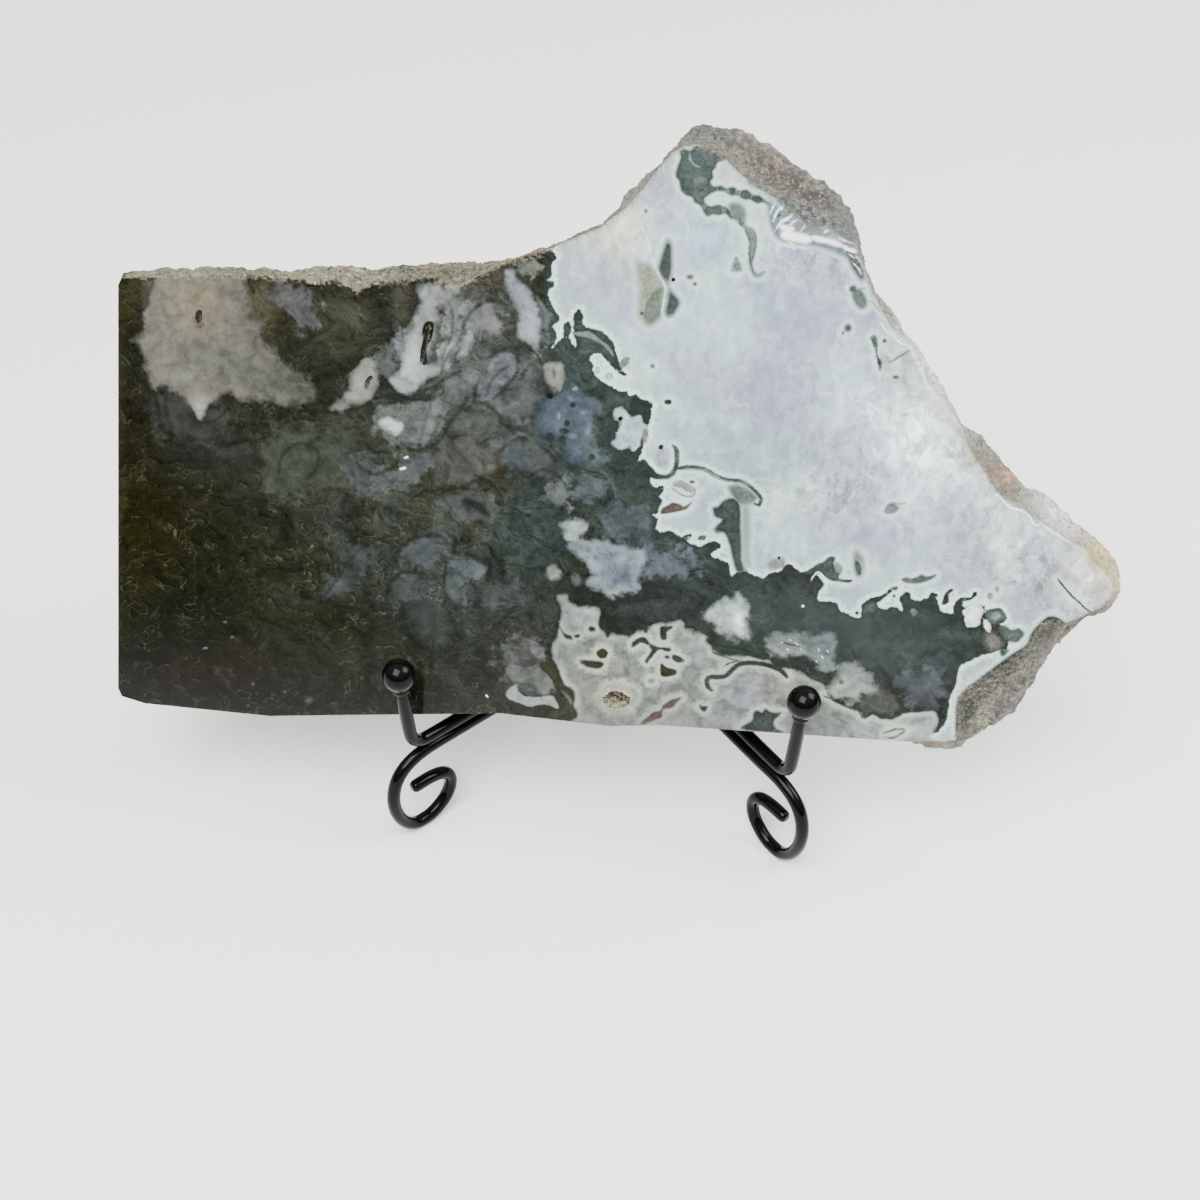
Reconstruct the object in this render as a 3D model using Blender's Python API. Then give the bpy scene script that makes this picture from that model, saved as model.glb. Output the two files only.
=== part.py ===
"""Moss agate slab, sawn and polished, leaning on a black wire easel with ball tips and scroll feet.

+Z is up, +X runs along the slab's long side, and the polished face looks towards -Y.
The origin is on the table, under the middle of the whole object's box.
"""
import math

import bmesh
import bpy
from mathutils import Matrix, Vector, noise

MM = 0.001

# The slab: its sawn thickness, its lean, and where its polished face meets its lower edge
SLAB_THICKNESS = 12.0 * MM
SLAB_LEAN = math.radians(22.0)
SLAB_FRONT_EDGE = Vector((0.0, 5.1, 37.1)) * MM

# The slab's rim: how rough and how rounded its broken and its sawn stretches are
RIM_STEP = 2.6 * MM
RIND_RELIEF = 0.75 * MM
SAWN_RELIEF = 0.12 * MM
FACE_EDGE_RELIEF = 0.25
RIND_BACK_INSET = 1.3 * MM
SAWN_BACK_INSET = 0.5 * MM
SAWN_MID_DEPTH = 6.0
BROKEN_WIDTH = 1.5 * MM
LEDGE_SHARE = 0.22
LEDGE_RATE = 0.31
RIM_LEVELS = 6
WIDEST_LEVEL = 3
LEVEL_SHARES = (0.0, 0.34, 0.7)
FINE_WAVE = 3.1 * MM
COARSE_WAVE = 4.3 * MM
NOISE_OFFSETS = (Vector((0.0, 0.0, 0.0)), Vector((9.3, 1.5, 7.7)), Vector((4.1, 8.6, 2.9)))

# The easel's wires
WIRE_RADIUS = 1.65 * MM
WIRE_SIDES = 10
WIRE_CORNER_RADIUS = WIRE_RADIUS / math.cos(math.pi / WIRE_SIDES)
WIRE_END_LENGTH = 0.6 * MM
WIRE_END_SHARE = 0.6
GAP = 0.3 * MM
BALL_RADIUS = 4.1 * MM
COLLAR_RADIUS = 2.2 * MM
BALL_SIDES = 18
BALL_BANDS = 9
BALL_LAST_BAND = math.radians(78.0)
COLLAR_LENGTH = 1.3 * MM
COLLAR_EDGE = 0.25 * MM
NECK_RADIUS = 1.75 * MM
ARM_HEIGHT = 30.6 * MM
LEFT_ARM_TURN = math.radians(43.5)
RIGHT_ARM_TURN = math.radians(40.0)
FOOT_TURN = math.radians(43.5)
HOOK_HALF_SPACING = 46.4 * MM
HOOK_FRONT = -0.1 * MM
LEFT_BALL = Vector((-48.0, -1.7, 56.7)) * MM
RIGHT_BALL = Vector((47.6, -1.7, 58.3)) * MM
HOOK_BEND_RADIUS = 5.0 * MM
BACK_BEND_RADIUS = 5.0 * MM
LEG_BEND_RADIUS = 7.0 * MM
BACKREST_TOP_HEIGHT = 106.0 * MM
BACKREST_WELD_LENGTH = 9.0 * MM
RUN_START = 2.0 * MM
LEG_TURN_X = 13.0 * MM
REAR_FOOT_X = 9.5 * MM
REAR_FOOT_FRONT = 84.0 * MM
REAR_FOOT_LENGTH = 15.0 * MM
CROSS_BAR_Y = 60.0 * MM
CROSS_BAR_OVERHANG = 4.0 * MM
ARC_STEPS = 5
SMOOTH_WIRE = math.radians(40.0)
SMOOTH_BALL = math.radians(35.0)

UP = Vector((0.0, 0.0, 1.0))

# The slab's rim, clockwise from the lower left corner, in millimetres on the polished face:
# right and up for the face's own edge, right and up for the stone's widest line behind it,
# and how deep that line lies. Where the two are the same the edge was sawn square.
RIM = [
    (-120.9, 0.2, -120.9, 0.2, SAWN_MID_DEPTH),
    (-116.4, 101.5, -116.4, 101.5, SAWN_MID_DEPTH),
    (-115.4, 103.3, -116.8, 102.9, 9.0),
    (-92.1, 105.8, -95.1, 105.1, 11.0),
    (-78.3, 106.0, -80.2, 105.1, 11.0),
    (-74.1, 106.1, -76.7, 105.6, 11.0),
    (-71.4, 105.4, -73.9, 106.3, 11.0),
    (-65.9, 106.4, -67.3, 107.0, 11.0),
    (-60.8, 104.0, -62.1, 107.1, 11.0),
    (-59.0, 105.6, -59.8, 106.8, 11.0),
    (-43.9, 108.5, -45.8, 109.2, 11.0),
    (-38.7, 106.2, -39.3, 109.6, 11.0),
    (-28.6, 112.3, -29.9, 110.9, 10.0),
    (-17.9, 116.2, -18.8, 115.1, 8.0),
    (-6.6, 121.6, -7.5, 120.9, 7.0),
    (-1.5, 125.9, -3.1, 124.6, 8.0),
    (0.6, 128.1, -2.1, 126.9, 8.0),
    (8.3, 138.8, 7.2, 137.9, 8.0),
    (10.4, 140.0, 9.5, 139.9, 8.0),
    (13.4, 140.9, 10.2, 141.8, 9.0),
    (16.1, 140.4, 12.1, 143.7, 9.0),
    (18.3, 139.5, 14.5, 144.2, 9.0),
    (25.3, 133.5, 24.1, 143.3, 9.0),
    (29.9, 131.0, 30.5, 140.2, 9.0),
    (38.0, 125.6, 39.5, 134.2, 9.0),
    (40.1, 124.2, 42.2, 133.7, 9.0),
    (42.7, 124.8, 44.5, 132.1, 9.0),
    (48.0, 122.3, 48.6, 127.3, 9.0),
    (50.3, 121.1, 50.2, 123.7, 8.0),
    (52.3, 116.4, 52.9, 115.8, 6.0),
    (54.6, 111.4, 55.4, 111.0, 6.0),
    (59.6, 103.4, 62.4, 102.8, 7.0),
    (64.7, 99.5, 66.5, 98.4, 7.0),
    (69.7, 90.6, 73.7, 88.9, 7.0),
    (72.9, 88.1, 75.7, 85.7, 7.0),
    (78.0, 81.6, 79.4, 80.3, 6.0),
    (79.3, 78.4, 83.2, 78.6, 7.0),
    (87.4, 67.4, 94.9, 66.9, 8.0),
    (90.4, 65.2, 98.8, 65.2, 8.0),
    (93.8, 64.0, 101.8, 64.0, 8.0),
    (96.6, 61.5, 104.4, 61.7, 8.0),
    (109.4, 54.9, 116.7, 52.6, 7.0),
    (111.4, 52.1, 118.8, 49.7, 7.0),
    (113.4, 50.8, 119.7, 46.9, 6.0),
    (116.8, 46.6, 120.1, 44.5, 5.0),
    (116.8, 43.4, 119.7, 41.2, 5.0),
    (114.9, 40.7, 117.5, 38.2, 5.0),
    (109.4, 37.2, 111.8, 35.4, 5.0),
    (106.8, 36.0, 110.5, 32.4, 6.0),
    (103.9, 36.3, 109.2, 29.8, 7.0),
    (101.8, 35.1, 107.8, 27.0, 8.0),
    (99.8, 29.1, 105.5, 22.6, 8.0),
    (89.1, 19.9, 101.5, 11.4, 8.0),
    (87.0, 18.2, 99.6, 8.8, 8.0),
    (85.2, 15.4, 97.0, 6.7, 8.0),
    (86.3, 6.0, 90.5, 2.2, 6.0),
    (85.6, 4.0, 88.2, 0.0, 5.0),
    (83.0, 3.3, 85.0, -1.1, 5.0),
    (79.6, 3.3, 81.1, -1.1, 5.0),
    (76.8, 2.7, 76.8, -0.2, 5.0),
    (72.5, 2.6, 72.5, 2.6, SAWN_MID_DEPTH),
    (14.2, 1.8, 14.2, 1.8, SAWN_MID_DEPTH),
    (2.0, 0.5, 2.0, 0.5, SAWN_MID_DEPTH),
    (-25.2, 1.6, -25.2, 1.6, SAWN_MID_DEPTH),
    (-82.6, -4.1, -82.6, -4.1, SAWN_MID_DEPTH),
    (-114.2, -3.4, -114.2, -3.4, SAWN_MID_DEPTH),
    (-120.0, -1.9, -120.0, -1.9, SAWN_MID_DEPTH),
]

# Open hollows in the polished face: centre right and up, half width, half height, depth, and
# how far the hollow leans to the right, all in millimetres and degrees.
DRUSE_HOLLOW = (3.3, 7.7, 3.7, 2.7, 3.4, 0.0)
SLIT_HOLLOW = (-45.2, 92.5, 1.3, 4.9, 2.0, 16.0)
BROWN_HOLLOW = (-97.7, 95.5, 1.2, 2.0, 1.4, 8.0)
NODE_HOLLOW = (-58.1, 82.8, 0.9, 1.7, 1.0, 20.0)
HOLLOW_LUMP = 0.16

# The crust of crystals in the large hollow
CRUST_CLEARANCE = 0.55 * MM
CRUST_THICKNESS = 0.9 * MM
CRUST_EDGE = 0.5 * MM
CRYSTAL_HEIGHT = 0.7 * MM
CRUST_SIDES = 18
CRUST_TILTS = (12.0, 32.0, 52.0, 72.0)

# The scroll, as forward and up from the hook's corner line on the table, in millimetres:
# from its inner tip, round the curl and up to the run that is welded under the arm.
SCROLL = [
    (0.6, 15.6),
    (-2.7, 15.7),
    (-6.3, 15.4),
    (-9.4, 13.9),
    (-10.9, 10.6),
    (-9.9, 6.5),
    (-7.4, 3.7),
    (-4.5, 2.0),
    (-1.9, 1.65),
    (1.0, 2.0),
    (3.9, 4.6),
    (5.9, 8.5),
    (6.9, 13.0),
    (6.8, 17.5),
    (5.3, 22.0),
    (1.9, 25.3),
    (-3.5, 26.9),
    (-9.5, 27.0),
]
SCROLL_STEPS = 2
SCROLL_BEND_LINE = Vector((46.3, 0.0, 0.0)) * MM


def remove_old_objects():
    """Empties the scene."""
    for old in list(bpy.data.objects):
        bpy.data.objects.remove(old, do_unlink=True)


def principled(name, colour, roughness, metallic=0.0):
    """A plain surface with the piece's own colour."""
    material = bpy.data.materials.new(name)
    material.use_nodes = True
    shader = material.node_tree.nodes["Principled BSDF"]
    shader.inputs["Base Color"].default_value = (*colour, 1.0)
    shader.inputs["Roughness"].default_value = roughness
    shader.inputs["Metallic"].default_value = metallic
    return material


def object_from(bm, name, material, smooth_angle=None):
    """Turns a finished bmesh into a named object, shaded smooth below an angle if one is given."""
    bmesh.ops.recalc_face_normals(bm, faces=bm.faces[:])
    mesh = bpy.data.meshes.new(name)
    bm.to_mesh(mesh)
    bm.free()
    mesh.materials.append(material)
    if smooth_angle is not None:
        mesh.shade_smooth()
        mesh.set_sharp_from_angle(angle=smooth_angle)
    piece = bpy.data.objects.new(name, mesh)
    bpy.context.scene.collection.objects.link(piece)
    return piece


def skin_rings(bm, rings, first_pole=None, last_pole=None):
    """Joins rings of points with faces, and closes each end flat or to a pole."""
    loops = [[bm.verts.new(point) for point in ring] for ring in rings]
    count = len(rings[0])
    for near, far in zip(loops, loops[1:]):
        for i in range(count):
            j = (i + 1) % count
            bm.faces.new((near[i], near[j], far[j], far[i]))
    for loop, pole in ((loops[0], first_pole), (loops[-1], last_pole)):
        if pole is None:
            bm.faces.new(loop)
            continue
        tip = bm.verts.new(pole)
        for i in range(count):
            bm.faces.new((loop[i], loop[(i + 1) % count], tip))


def face_axes():
    """The polished face's directions: right, up along the face, and out of the face."""
    right = Vector((1.0, 0.0, 0.0))
    along = Vector((0.0, math.sin(SLAB_LEAN), math.cos(SLAB_LEAN)))
    out = Vector((0.0, -math.cos(SLAB_LEAN), math.sin(SLAB_LEAN)))
    return right, along, out


def on_slab(across, up, depth=0.0):
    """A point of the slab from its place on the face and its depth behind it, in metres."""
    right, along, out = face_axes()
    return SLAB_FRONT_EDGE + right * across + along * up - out * depth


def rim_stations():
    """The rim's hand-placed stations with more put evenly between them."""
    stations = []
    for here, after in zip(RIM, RIM[1:] + RIM[:1]):
        start = Vector(here[:2]) * MM
        end = Vector(after[:2]) * MM
        outer_start = Vector(here[2:4]) * MM
        outer_end = Vector(after[2:4]) * MM
        longest = max((end - start).length, (outer_end - outer_start).length)
        steps = max(1, round(longest / RIM_STEP))
        for step in range(steps):
            part = step / steps
            face = start.lerp(end, part)
            outer = outer_start.lerp(outer_end, part)
            depth = (here[4] + (after[4] - here[4]) * part) * MM
            stations.append((face, outer, depth))
    return stations


def outward(points, index):
    """The direction out of a clockwise outline at one of its points."""
    along = points[(index + 1) % len(points)] - points[index - 1]
    return Vector((-along.y, along.x)).normalized()


def wobble(across, up, depth, wavelength, seed):
    """A smooth, repeatable offset between -1 and 1 in three directions."""
    place = Vector((across, up, depth)) / wavelength + Vector((seed, 2.0 * seed, -seed))
    return [noise.noise(place + offset) for offset in NOISE_OFFSETS]


def rim_ring(stations, level):
    """One ring of the rim, from level 0 at the polished face to the last at the sawn back."""
    outers = [outer for face, outer, depth in stations]
    ring = []
    for index, (face, outer, depth) in enumerate(stations):
        broken = min(1.0, (outer - face).length / BROKEN_WIDTH)
        relief = SAWN_RELIEF + (RIND_RELIEF - SAWN_RELIEF) * broken
        inset = SAWN_BACK_INSET + (RIND_BACK_INSET - SAWN_BACK_INSET) * broken
        out = outward(outers, index)
        ledge = LEDGE_SHARE * broken * noise.noise(Vector((index * LEDGE_RATE, 4.7, 1.3)))
        if level == 0:
            shift = wobble(face.x, face.y, 0.0, FINE_WAVE, 5.0)
            place = face + FACE_EDGE_RELIEF * relief * Vector(shift[:2])
            deep = 0.0
        elif level < WIDEST_LEVEL:
            place = face.lerp(outer, LEVEL_SHARES[level] + ledge)
            deep = depth * (LEVEL_SHARES[level] - ledge)
        elif level == WIDEST_LEVEL:
            place = outer
            deep = depth
        elif level < RIM_LEVELS - 1:
            place = outer - out * inset * 0.2
            deep = 0.5 * (depth + SLAB_THICKNESS)
        else:
            place = outer - out * inset
            deep = SLAB_THICKNESS
        if 0 < level < RIM_LEVELS - 1:
            shift = wobble(place.x, place.y, deep, COARSE_WAVE, 11.0)
            strength = relief * (0.45 if level == WIDEST_LEVEL else 1.0)
            place = place + strength * Vector(shift[:2])
            deep = deep + 0.8 * strength * shift[2]
        ring.append(on_slab(place.x, place.y, deep))
    return ring


def add_egg(bm, hollow):
    """Adds one lumpy egg, the shape of one open hollow, to the cutter's mesh."""
    across, up, half_width, half_height, depth, lean = hollow
    right, along, out = face_axes()
    turn = Matrix.Rotation(math.radians(-lean), 3, out)
    wide = turn @ right * half_width * MM
    high = turn @ along * half_height * MM
    centre = on_slab(across * MM, up * MM)
    egg = bmesh.ops.create_icosphere(bm, subdivisions=2, radius=1.0)["verts"]
    for vert in egg:
        lump = 1.0 + HOLLOW_LUMP * noise.noise(vert.co * 1.7 + Vector((across, up, 0.0)))
        local = vert.co * lump
        vert.co = centre + wide * local.x + high * local.y + out * local.z * depth * MM


def make_hollow_cutter(hollows):
    """The shape that opens all the hollows in the polished face at once."""
    bm = bmesh.new()
    for hollow in hollows:
        add_egg(bm, hollow)
    cutter = object_from(bm, "hollow_cutter", principled("stone_cut", (0.5, 0.5, 0.5), 0.5))
    cutter.hide_render = True
    cutter.display_type = "WIRE"
    return cutter


def make_slab():
    """The stone: a flat polished face, a flat sawn back, a broken rind and open hollows."""
    stations = rim_stations()
    bm = bmesh.new()
    skin_rings(bm, [rim_ring(stations, level) for level in range(RIM_LEVELS)])
    slab = object_from(bm, "agate_slab", principled("moss_agate", (0.30, 0.33, 0.30), 0.12))
    cut = slab.modifiers.new("hollows", "BOOLEAN")
    cut.operation = "DIFFERENCE"
    cut.solver = "EXACT"
    cut.object = make_hollow_cutter([DRUSE_HOLLOW, SLIT_HOLLOW, BROWN_HOLLOW, NODE_HOLLOW])
    return slab


def make_druse_crystals():
    """The crust of crystals in the large hollow: a bowl with pointed facets inside."""
    across, up, half_width, half_height, depth, lean = DRUSE_HOLLOW
    right, along, out = face_axes()
    centre = on_slab(across * MM, up * MM)

    def bowl_point(turn_share, tilt, inset):
        turn = 2.0 * math.pi * turn_share
        fall = math.radians(tilt)
        reach_x = half_width * MM - inset
        reach_y = half_height * MM - inset
        sink = depth * MM - inset
        flat = math.cos(fall)
        return (centre + right * reach_x * math.cos(turn) * flat
                + along * reach_y * math.sin(turn) * flat - out * sink * math.sin(fall))

    bm = bmesh.new()
    outside = []
    inside = []
    for row, tilt in enumerate(CRUST_TILTS):
        outside.append([bowl_point(i / CRUST_SIDES, tilt, CRUST_CLEARANCE) for i in range(CRUST_SIDES)])
        ring = []
        for i in range(CRUST_SIDES):
            is_tip = row > 0 and (i + row) % 2
            height = CRUST_EDGE + (CRYSTAL_HEIGHT if is_tip else 0.0)
            ring.append(bowl_point(i / CRUST_SIDES, tilt, CRUST_CLEARANCE + height))
        inside.append(ring)
    rings = outside[::-1] + inside
    lowest = bowl_point(0.0, 90.0, CRUST_CLEARANCE)
    skin_rings(bm, rings, lowest, bowl_point(0.0, 90.0, CRUST_CLEARANCE + CRUST_THICKNESS))
    return object_from(bm, "druse_crystals", principled("brown_quartz", (0.32, 0.22, 0.14), 0.25))


def level_direction(side, turn):
    """The level way that runs back and inwards from one side of the easel."""
    return Vector((-side * math.sin(turn), math.cos(turn), 0.0))


def arm_direction(side):
    """The way that an arm runs from its hook. The arms are bent by hand, and the two differ."""
    return level_direction(side, LEFT_ARM_TURN if side < 0 else RIGHT_ARM_TURN)


def backrest_line(height):
    """How far back the backrest's wires lie at a height, so that they stand behind the slab."""
    back = on_slab(0.0, 0.0, SLAB_THICKNESS + WIRE_CORNER_RADIUS + GAP)
    return back.y + (height - back.z) * math.tan(SLAB_LEAN)


def rounded_route(corners, radii):
    """The corners' straight route with each inner corner turned into an arc."""
    route = [corners[0]]
    for before, corner, after, radius in zip(corners, corners[1:], corners[2:], radii):
        way_in = (corner - before).normalized()
        way_out = (after - corner).normalized()
        turn = way_in.angle(way_out)
        inwards = (way_out - way_in * way_out.dot(way_in)).normalized()
        start = corner - way_in * radius * math.tan(turn / 2.0)
        for step in range(ARC_STEPS + 1):
            angle = turn * step / ARC_STEPS
            route.append(start + way_in * radius * math.sin(angle)
                         + inwards * radius * (1.0 - math.cos(angle)))
    route.append(corners[-1])
    return route


def smooth_route(points, steps):
    """A smooth curve through the points, by Catmull and Rom's rule."""
    padded = [points[0] * 2.0 - points[1], *points, points[-1] * 2.0 - points[-2]]
    route = []
    for a, b, c, d in zip(padded, padded[1:], padded[2:], padded[3:]):
        for step in range(steps):
            t = step / steps
            route.append(0.5 * (2.0 * b + (c - a) * t + (2.0 * a - 5.0 * b + 4.0 * c - d) * t ** 2
                                + (3.0 * b - a - 3.0 * c + d) * t ** 3))
    route.append(points[-1])
    return route


def make_wire(name, route, material, fixed_side=None, fixed_count=0):
    """A round wire along a route, with rounded ends. A flat of its section faces down wherever
    the wire runs level. The first points take a fixed side direction, where the wire turns
    through the vertical."""
    count = len(route)

    def ring(centre, tangent, side, radius):
        normal = side.cross(tangent).normalized()
        return [centre + radius * (side * math.sin(turn) - normal * math.cos(turn))
                for turn in (2.0 * math.pi * (k + 0.5) / WIRE_SIDES for k in range(WIRE_SIDES))]

    rings = []
    for index, centre in enumerate(route):
        before = route[max(0, index - 1)]
        after = route[min(count - 1, index + 1)]
        tangent = (after - before).normalized()
        side = fixed_side if index < fixed_count else tangent.cross(UP).normalized()
        end_radius = WIRE_CORNER_RADIUS * WIRE_END_SHARE
        if index == 0:
            rings.append(ring(centre - tangent * WIRE_END_LENGTH, tangent, side, end_radius))
        rings.append(ring(centre, tangent, side, WIRE_CORNER_RADIUS))
        if index == count - 1:
            rings.append(ring(centre + tangent * WIRE_END_LENGTH, tangent, side, end_radius))
    bm = bmesh.new()
    skin_rings(bm, rings)
    return object_from(bm, name, material, SMOOTH_WIRE)


def hook_corner(side):
    """The corner between a hook's upright and its arm."""
    return Vector((side * HOOK_HALF_SPACING, HOOK_FRONT, ARM_HEIGHT))


def ball_centre(side):
    """The middle of a hook's ball. The hooks are bent by hand, and the two differ a little."""
    return LEFT_BALL if side < 0 else RIGHT_BALL


def make_hook_wire(name, side, material):
    """A hook's upright, its arm under the slab and its half of the backrest, in one wire."""
    corner = hook_corner(side)
    ball = ball_centre(side)
    hook_up = (ball - corner).normalized()
    run = arm_direction(side)
    top = ball - hook_up * (BALL_RADIUS + COLLAR_LENGTH + WIRE_END_LENGTH + GAP)
    arm_length = (backrest_line(ARM_HEIGHT) - corner.y) / run.y
    back_corner = corner + run * arm_length
    apex_x = side * (WIRE_CORNER_RADIUS + GAP / 2.0)
    weld_rise = BACKREST_WELD_LENGTH * math.cos(SLAB_LEAN)
    apex_height = BACKREST_TOP_HEIGHT - weld_rise
    apex = Vector((apex_x, backrest_line(apex_height), apex_height))
    tip = Vector((apex_x, backrest_line(BACKREST_TOP_HEIGHT), BACKREST_TOP_HEIGHT))
    radii = (HOOK_BEND_RADIUS, BACK_BEND_RADIUS, LEG_BEND_RADIUS)
    route = rounded_route([top, corner, back_corner, apex, tip], radii)
    return make_wire(name, route, material, run.cross(UP), fixed_count=ARC_STEPS + 3)


def scroll_points(side):
    """The scroll's points in space, from its inner tip to the run that lies under the arm."""
    run = level_direction(side, FOOT_TURN)
    base = Vector((side * SCROLL_BEND_LINE.x, SCROLL_BEND_LINE.y, 0.0))
    return [base - run * forward * MM + UP * up * MM for forward, up in SCROLL]


def leg_ends(side):
    """Where a foot's run turns down into the rear leg, and where that leg meets the table."""
    last = scroll_points(side)[-1]
    run = arm_direction(side)
    turn = last + run * (abs(last.x) - LEG_TURN_X) / abs(run.x)
    return turn, Vector((side * REAR_FOOT_X, REAR_FOOT_FRONT, WIRE_RADIUS))


def make_foot_wire(name, side, material):
    """A scroll foot, its run welded under the arm and the rear leg that it goes on into."""
    foot_run = level_direction(side, FOOT_TURN)
    curl = smooth_route(scroll_points(side), SCROLL_STEPS)
    start = curl[-1] + arm_direction(side) * RUN_START
    turn, touch_down = leg_ends(side)
    end = touch_down + Vector((0.0, REAR_FOOT_LENGTH, 0.0))
    leg = rounded_route([start, turn, touch_down, end], (LEG_BEND_RADIUS, LEG_BEND_RADIUS))
    return make_wire(name, curl[:-1] + leg, material, foot_run.cross(UP), fixed_count=len(curl))


def make_cross_bar(material):
    """The short bar that is welded across both rear legs and ties them together."""
    crossings = []
    for side in (-1, 1):
        turn, touch_down = leg_ends(side)
        slope = (touch_down - turn) / (touch_down.y - turn.y)
        clear = 2.0 * WIRE_CORNER_RADIUS + GAP
        lift = clear * slope.length / math.hypot(slope.x, slope.y)
        crossings.append(turn + slope * (CROSS_BAR_Y - turn.y) + UP * lift)
    left, right = crossings
    overhang = (right - left).normalized() * CROSS_BAR_OVERHANG
    route = [left - overhang, left, right, right + overhang]
    return make_wire("cross_bar", route, material)


def make_ball_tip(name, side, material):
    """A ball with a short collar, turned about the hook's upright."""
    ball = ball_centre(side)
    axis = (ball - hook_corner(side)).normalized()
    across = axis.orthogonal().normalized()
    other = axis.cross(across)
    foot = -(BALL_RADIUS + COLLAR_LENGTH)
    profile = [(COLLAR_RADIUS - COLLAR_EDGE, foot), (COLLAR_RADIUS, foot + COLLAR_EDGE)]
    profile.append((COLLAR_RADIUS, foot + COLLAR_LENGTH - COLLAR_EDGE))
    first_angle = -math.acos(NECK_RADIUS / BALL_RADIUS)
    for band in range(BALL_BANDS):
        angle = first_angle + (BALL_LAST_BAND - first_angle) * band / (BALL_BANDS - 1)
        profile.append((BALL_RADIUS * math.cos(angle), BALL_RADIUS * math.sin(angle)))
    rings = []
    for radius, height in profile:
        rings.append([ball + axis * height + radius * (across * math.cos(turn) + other * math.sin(turn))
                      for turn in (2.0 * math.pi * k / BALL_SIDES for k in range(BALL_SIDES))])
    bm = bmesh.new()
    skin_rings(bm, rings, None, ball + axis * BALL_RADIUS)
    return object_from(bm, name, material, SMOOTH_BALL)


def set_origin(pieces):
    """Moves the whole object so that the origin is on the table under the middle of its box."""
    low = Vector((math.inf, math.inf, math.inf))
    high = -low
    for piece in pieces:
        for vert in piece.data.vertices:
            low = Vector(map(min, low, vert.co))
            high = Vector(map(max, high, vert.co))
    shift = Vector(((low.x + high.x) / 2.0, (low.y + high.y) / 2.0, low.z))
    for mesh in bpy.data.meshes:
        mesh.transform(Matrix.Translation(-shift))
    print("stand's own zero is now at", [round(-value / MM, 3) for value in shift], "mm")


def main():
    remove_old_objects()
    enamel = principled("black_enamel", (0.012, 0.010, 0.009), 0.18)
    pieces = [make_slab(), make_druse_crystals()]
    for side, hand in ((-1, "left"), (1, "right")):
        pieces.append(make_hook_wire("hook_wire_" + hand, side, enamel))
        pieces.append(make_foot_wire("foot_wire_" + hand, side, enamel))
        pieces.append(make_ball_tip("ball_tip_" + hand, side, enamel))
    pieces.append(make_cross_bar(enamel))
    set_origin(pieces)


main()
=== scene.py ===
"""A slab of moss agate on a black wire easel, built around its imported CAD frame."""

import math
from functools import partial

import bpy
import numpy as np
from mathutils import Matrix, Vector, noise
from mathutils.geometry import delaunay_2d_cdt
from mathutils.kdtree import KDTree


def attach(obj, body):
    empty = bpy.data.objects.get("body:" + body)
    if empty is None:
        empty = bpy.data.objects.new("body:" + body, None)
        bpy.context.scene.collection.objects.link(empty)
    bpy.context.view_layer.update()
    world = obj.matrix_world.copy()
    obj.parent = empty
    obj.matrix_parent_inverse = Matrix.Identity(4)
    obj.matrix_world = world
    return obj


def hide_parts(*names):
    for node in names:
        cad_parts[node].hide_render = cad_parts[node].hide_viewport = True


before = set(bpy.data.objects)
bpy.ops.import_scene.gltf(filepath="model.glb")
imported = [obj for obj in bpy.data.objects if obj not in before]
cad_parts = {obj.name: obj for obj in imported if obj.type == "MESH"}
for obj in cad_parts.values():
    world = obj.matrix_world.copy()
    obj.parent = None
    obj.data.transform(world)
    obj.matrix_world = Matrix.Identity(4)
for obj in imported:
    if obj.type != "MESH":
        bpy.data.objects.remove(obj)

bl_info = {
    "name": "Agate Slab on a Wire Easel",
    "version": (1, 0, 0),
    "blender": (4, 5, 0),
    "location": "3D View > Sidebar > Agate",
    "description": "Builds a polished moss agate slab, its crystals, its wire easel and a plain stage",
    "category": "Object",
}

# The polished face: a point at the foot of its middle, its lean, and the slab's thickness in mm.
FACE_ZERO = Vector((0.000427, -0.0413061, 0.0371))
FACE_LEAN = math.radians(22.0)
THICKNESS = 12.0

# The camera's place, turn and lens. A marking's points are its places in this camera's picture,
# which is 1200 wide and high, because that is how a polished face is read: from in front.
CAMERA_PLACE = Vector((0.02303, -0.35078, 0.36910))
CAMERA_RISE = math.radians(43.0)
CAMERA_TURN = math.radians(4.393)
CAMERA_ROLL = math.radians(1.312)
CAMERA_LENS = 55.476
CAMERA_SENSOR = 36.0
PICTURE = 1200.0
PX_PER_MM = 4.2

# The studio's softboxes: name, place, what it is aimed at, size and power.
SOFTBOXES = (("front_softbox", (-0.25, -0.65, 1.15), (0.0, -0.05, 0.08), 0.9, 36.0),
             ("side_softbox", (0.75, 0.1, 0.85), (0.0, 0.0, 0.05), 0.6, 14.0))

# The middle of the druse's mouth on the face, the half size of the part of it that is broken ragged,
# and how deep that goes, in the stone's own millimetres. Its crust is drawn wider to meet the mouth.
DRUSE_MIDDLE = (3.3, 7.7)
DRUSE_HALF = (5.0, 3.6)
DRUSE_LIP = 1.2
CRUST_GROWTH = (1.13, 1.19, 1.0, 1.0)

# The slit and the two small hollows: top and foot in the picture, how far their walls reach aside
# in mm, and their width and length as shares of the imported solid's.
HOLLOWS = (((427, 322), (421, 365), 2.6, 0.5, 0.95),
           ((363, 383), (361, 396), 2.4, 0.7, 0.8),
           ((199, 312), (197, 330), 2.8, 0.72, 0.9))
HOLLOW_MARGIN = 1.4

# The pieces of the easel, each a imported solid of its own.
EASEL = ("hook_wire_left", "hook_wire_right", "foot_wire_left", "foot_wire_right", "cross_bar",
         "ball_tip_left", "ball_tip_right")
ENAMEL_COAT = 0.00008

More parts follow.
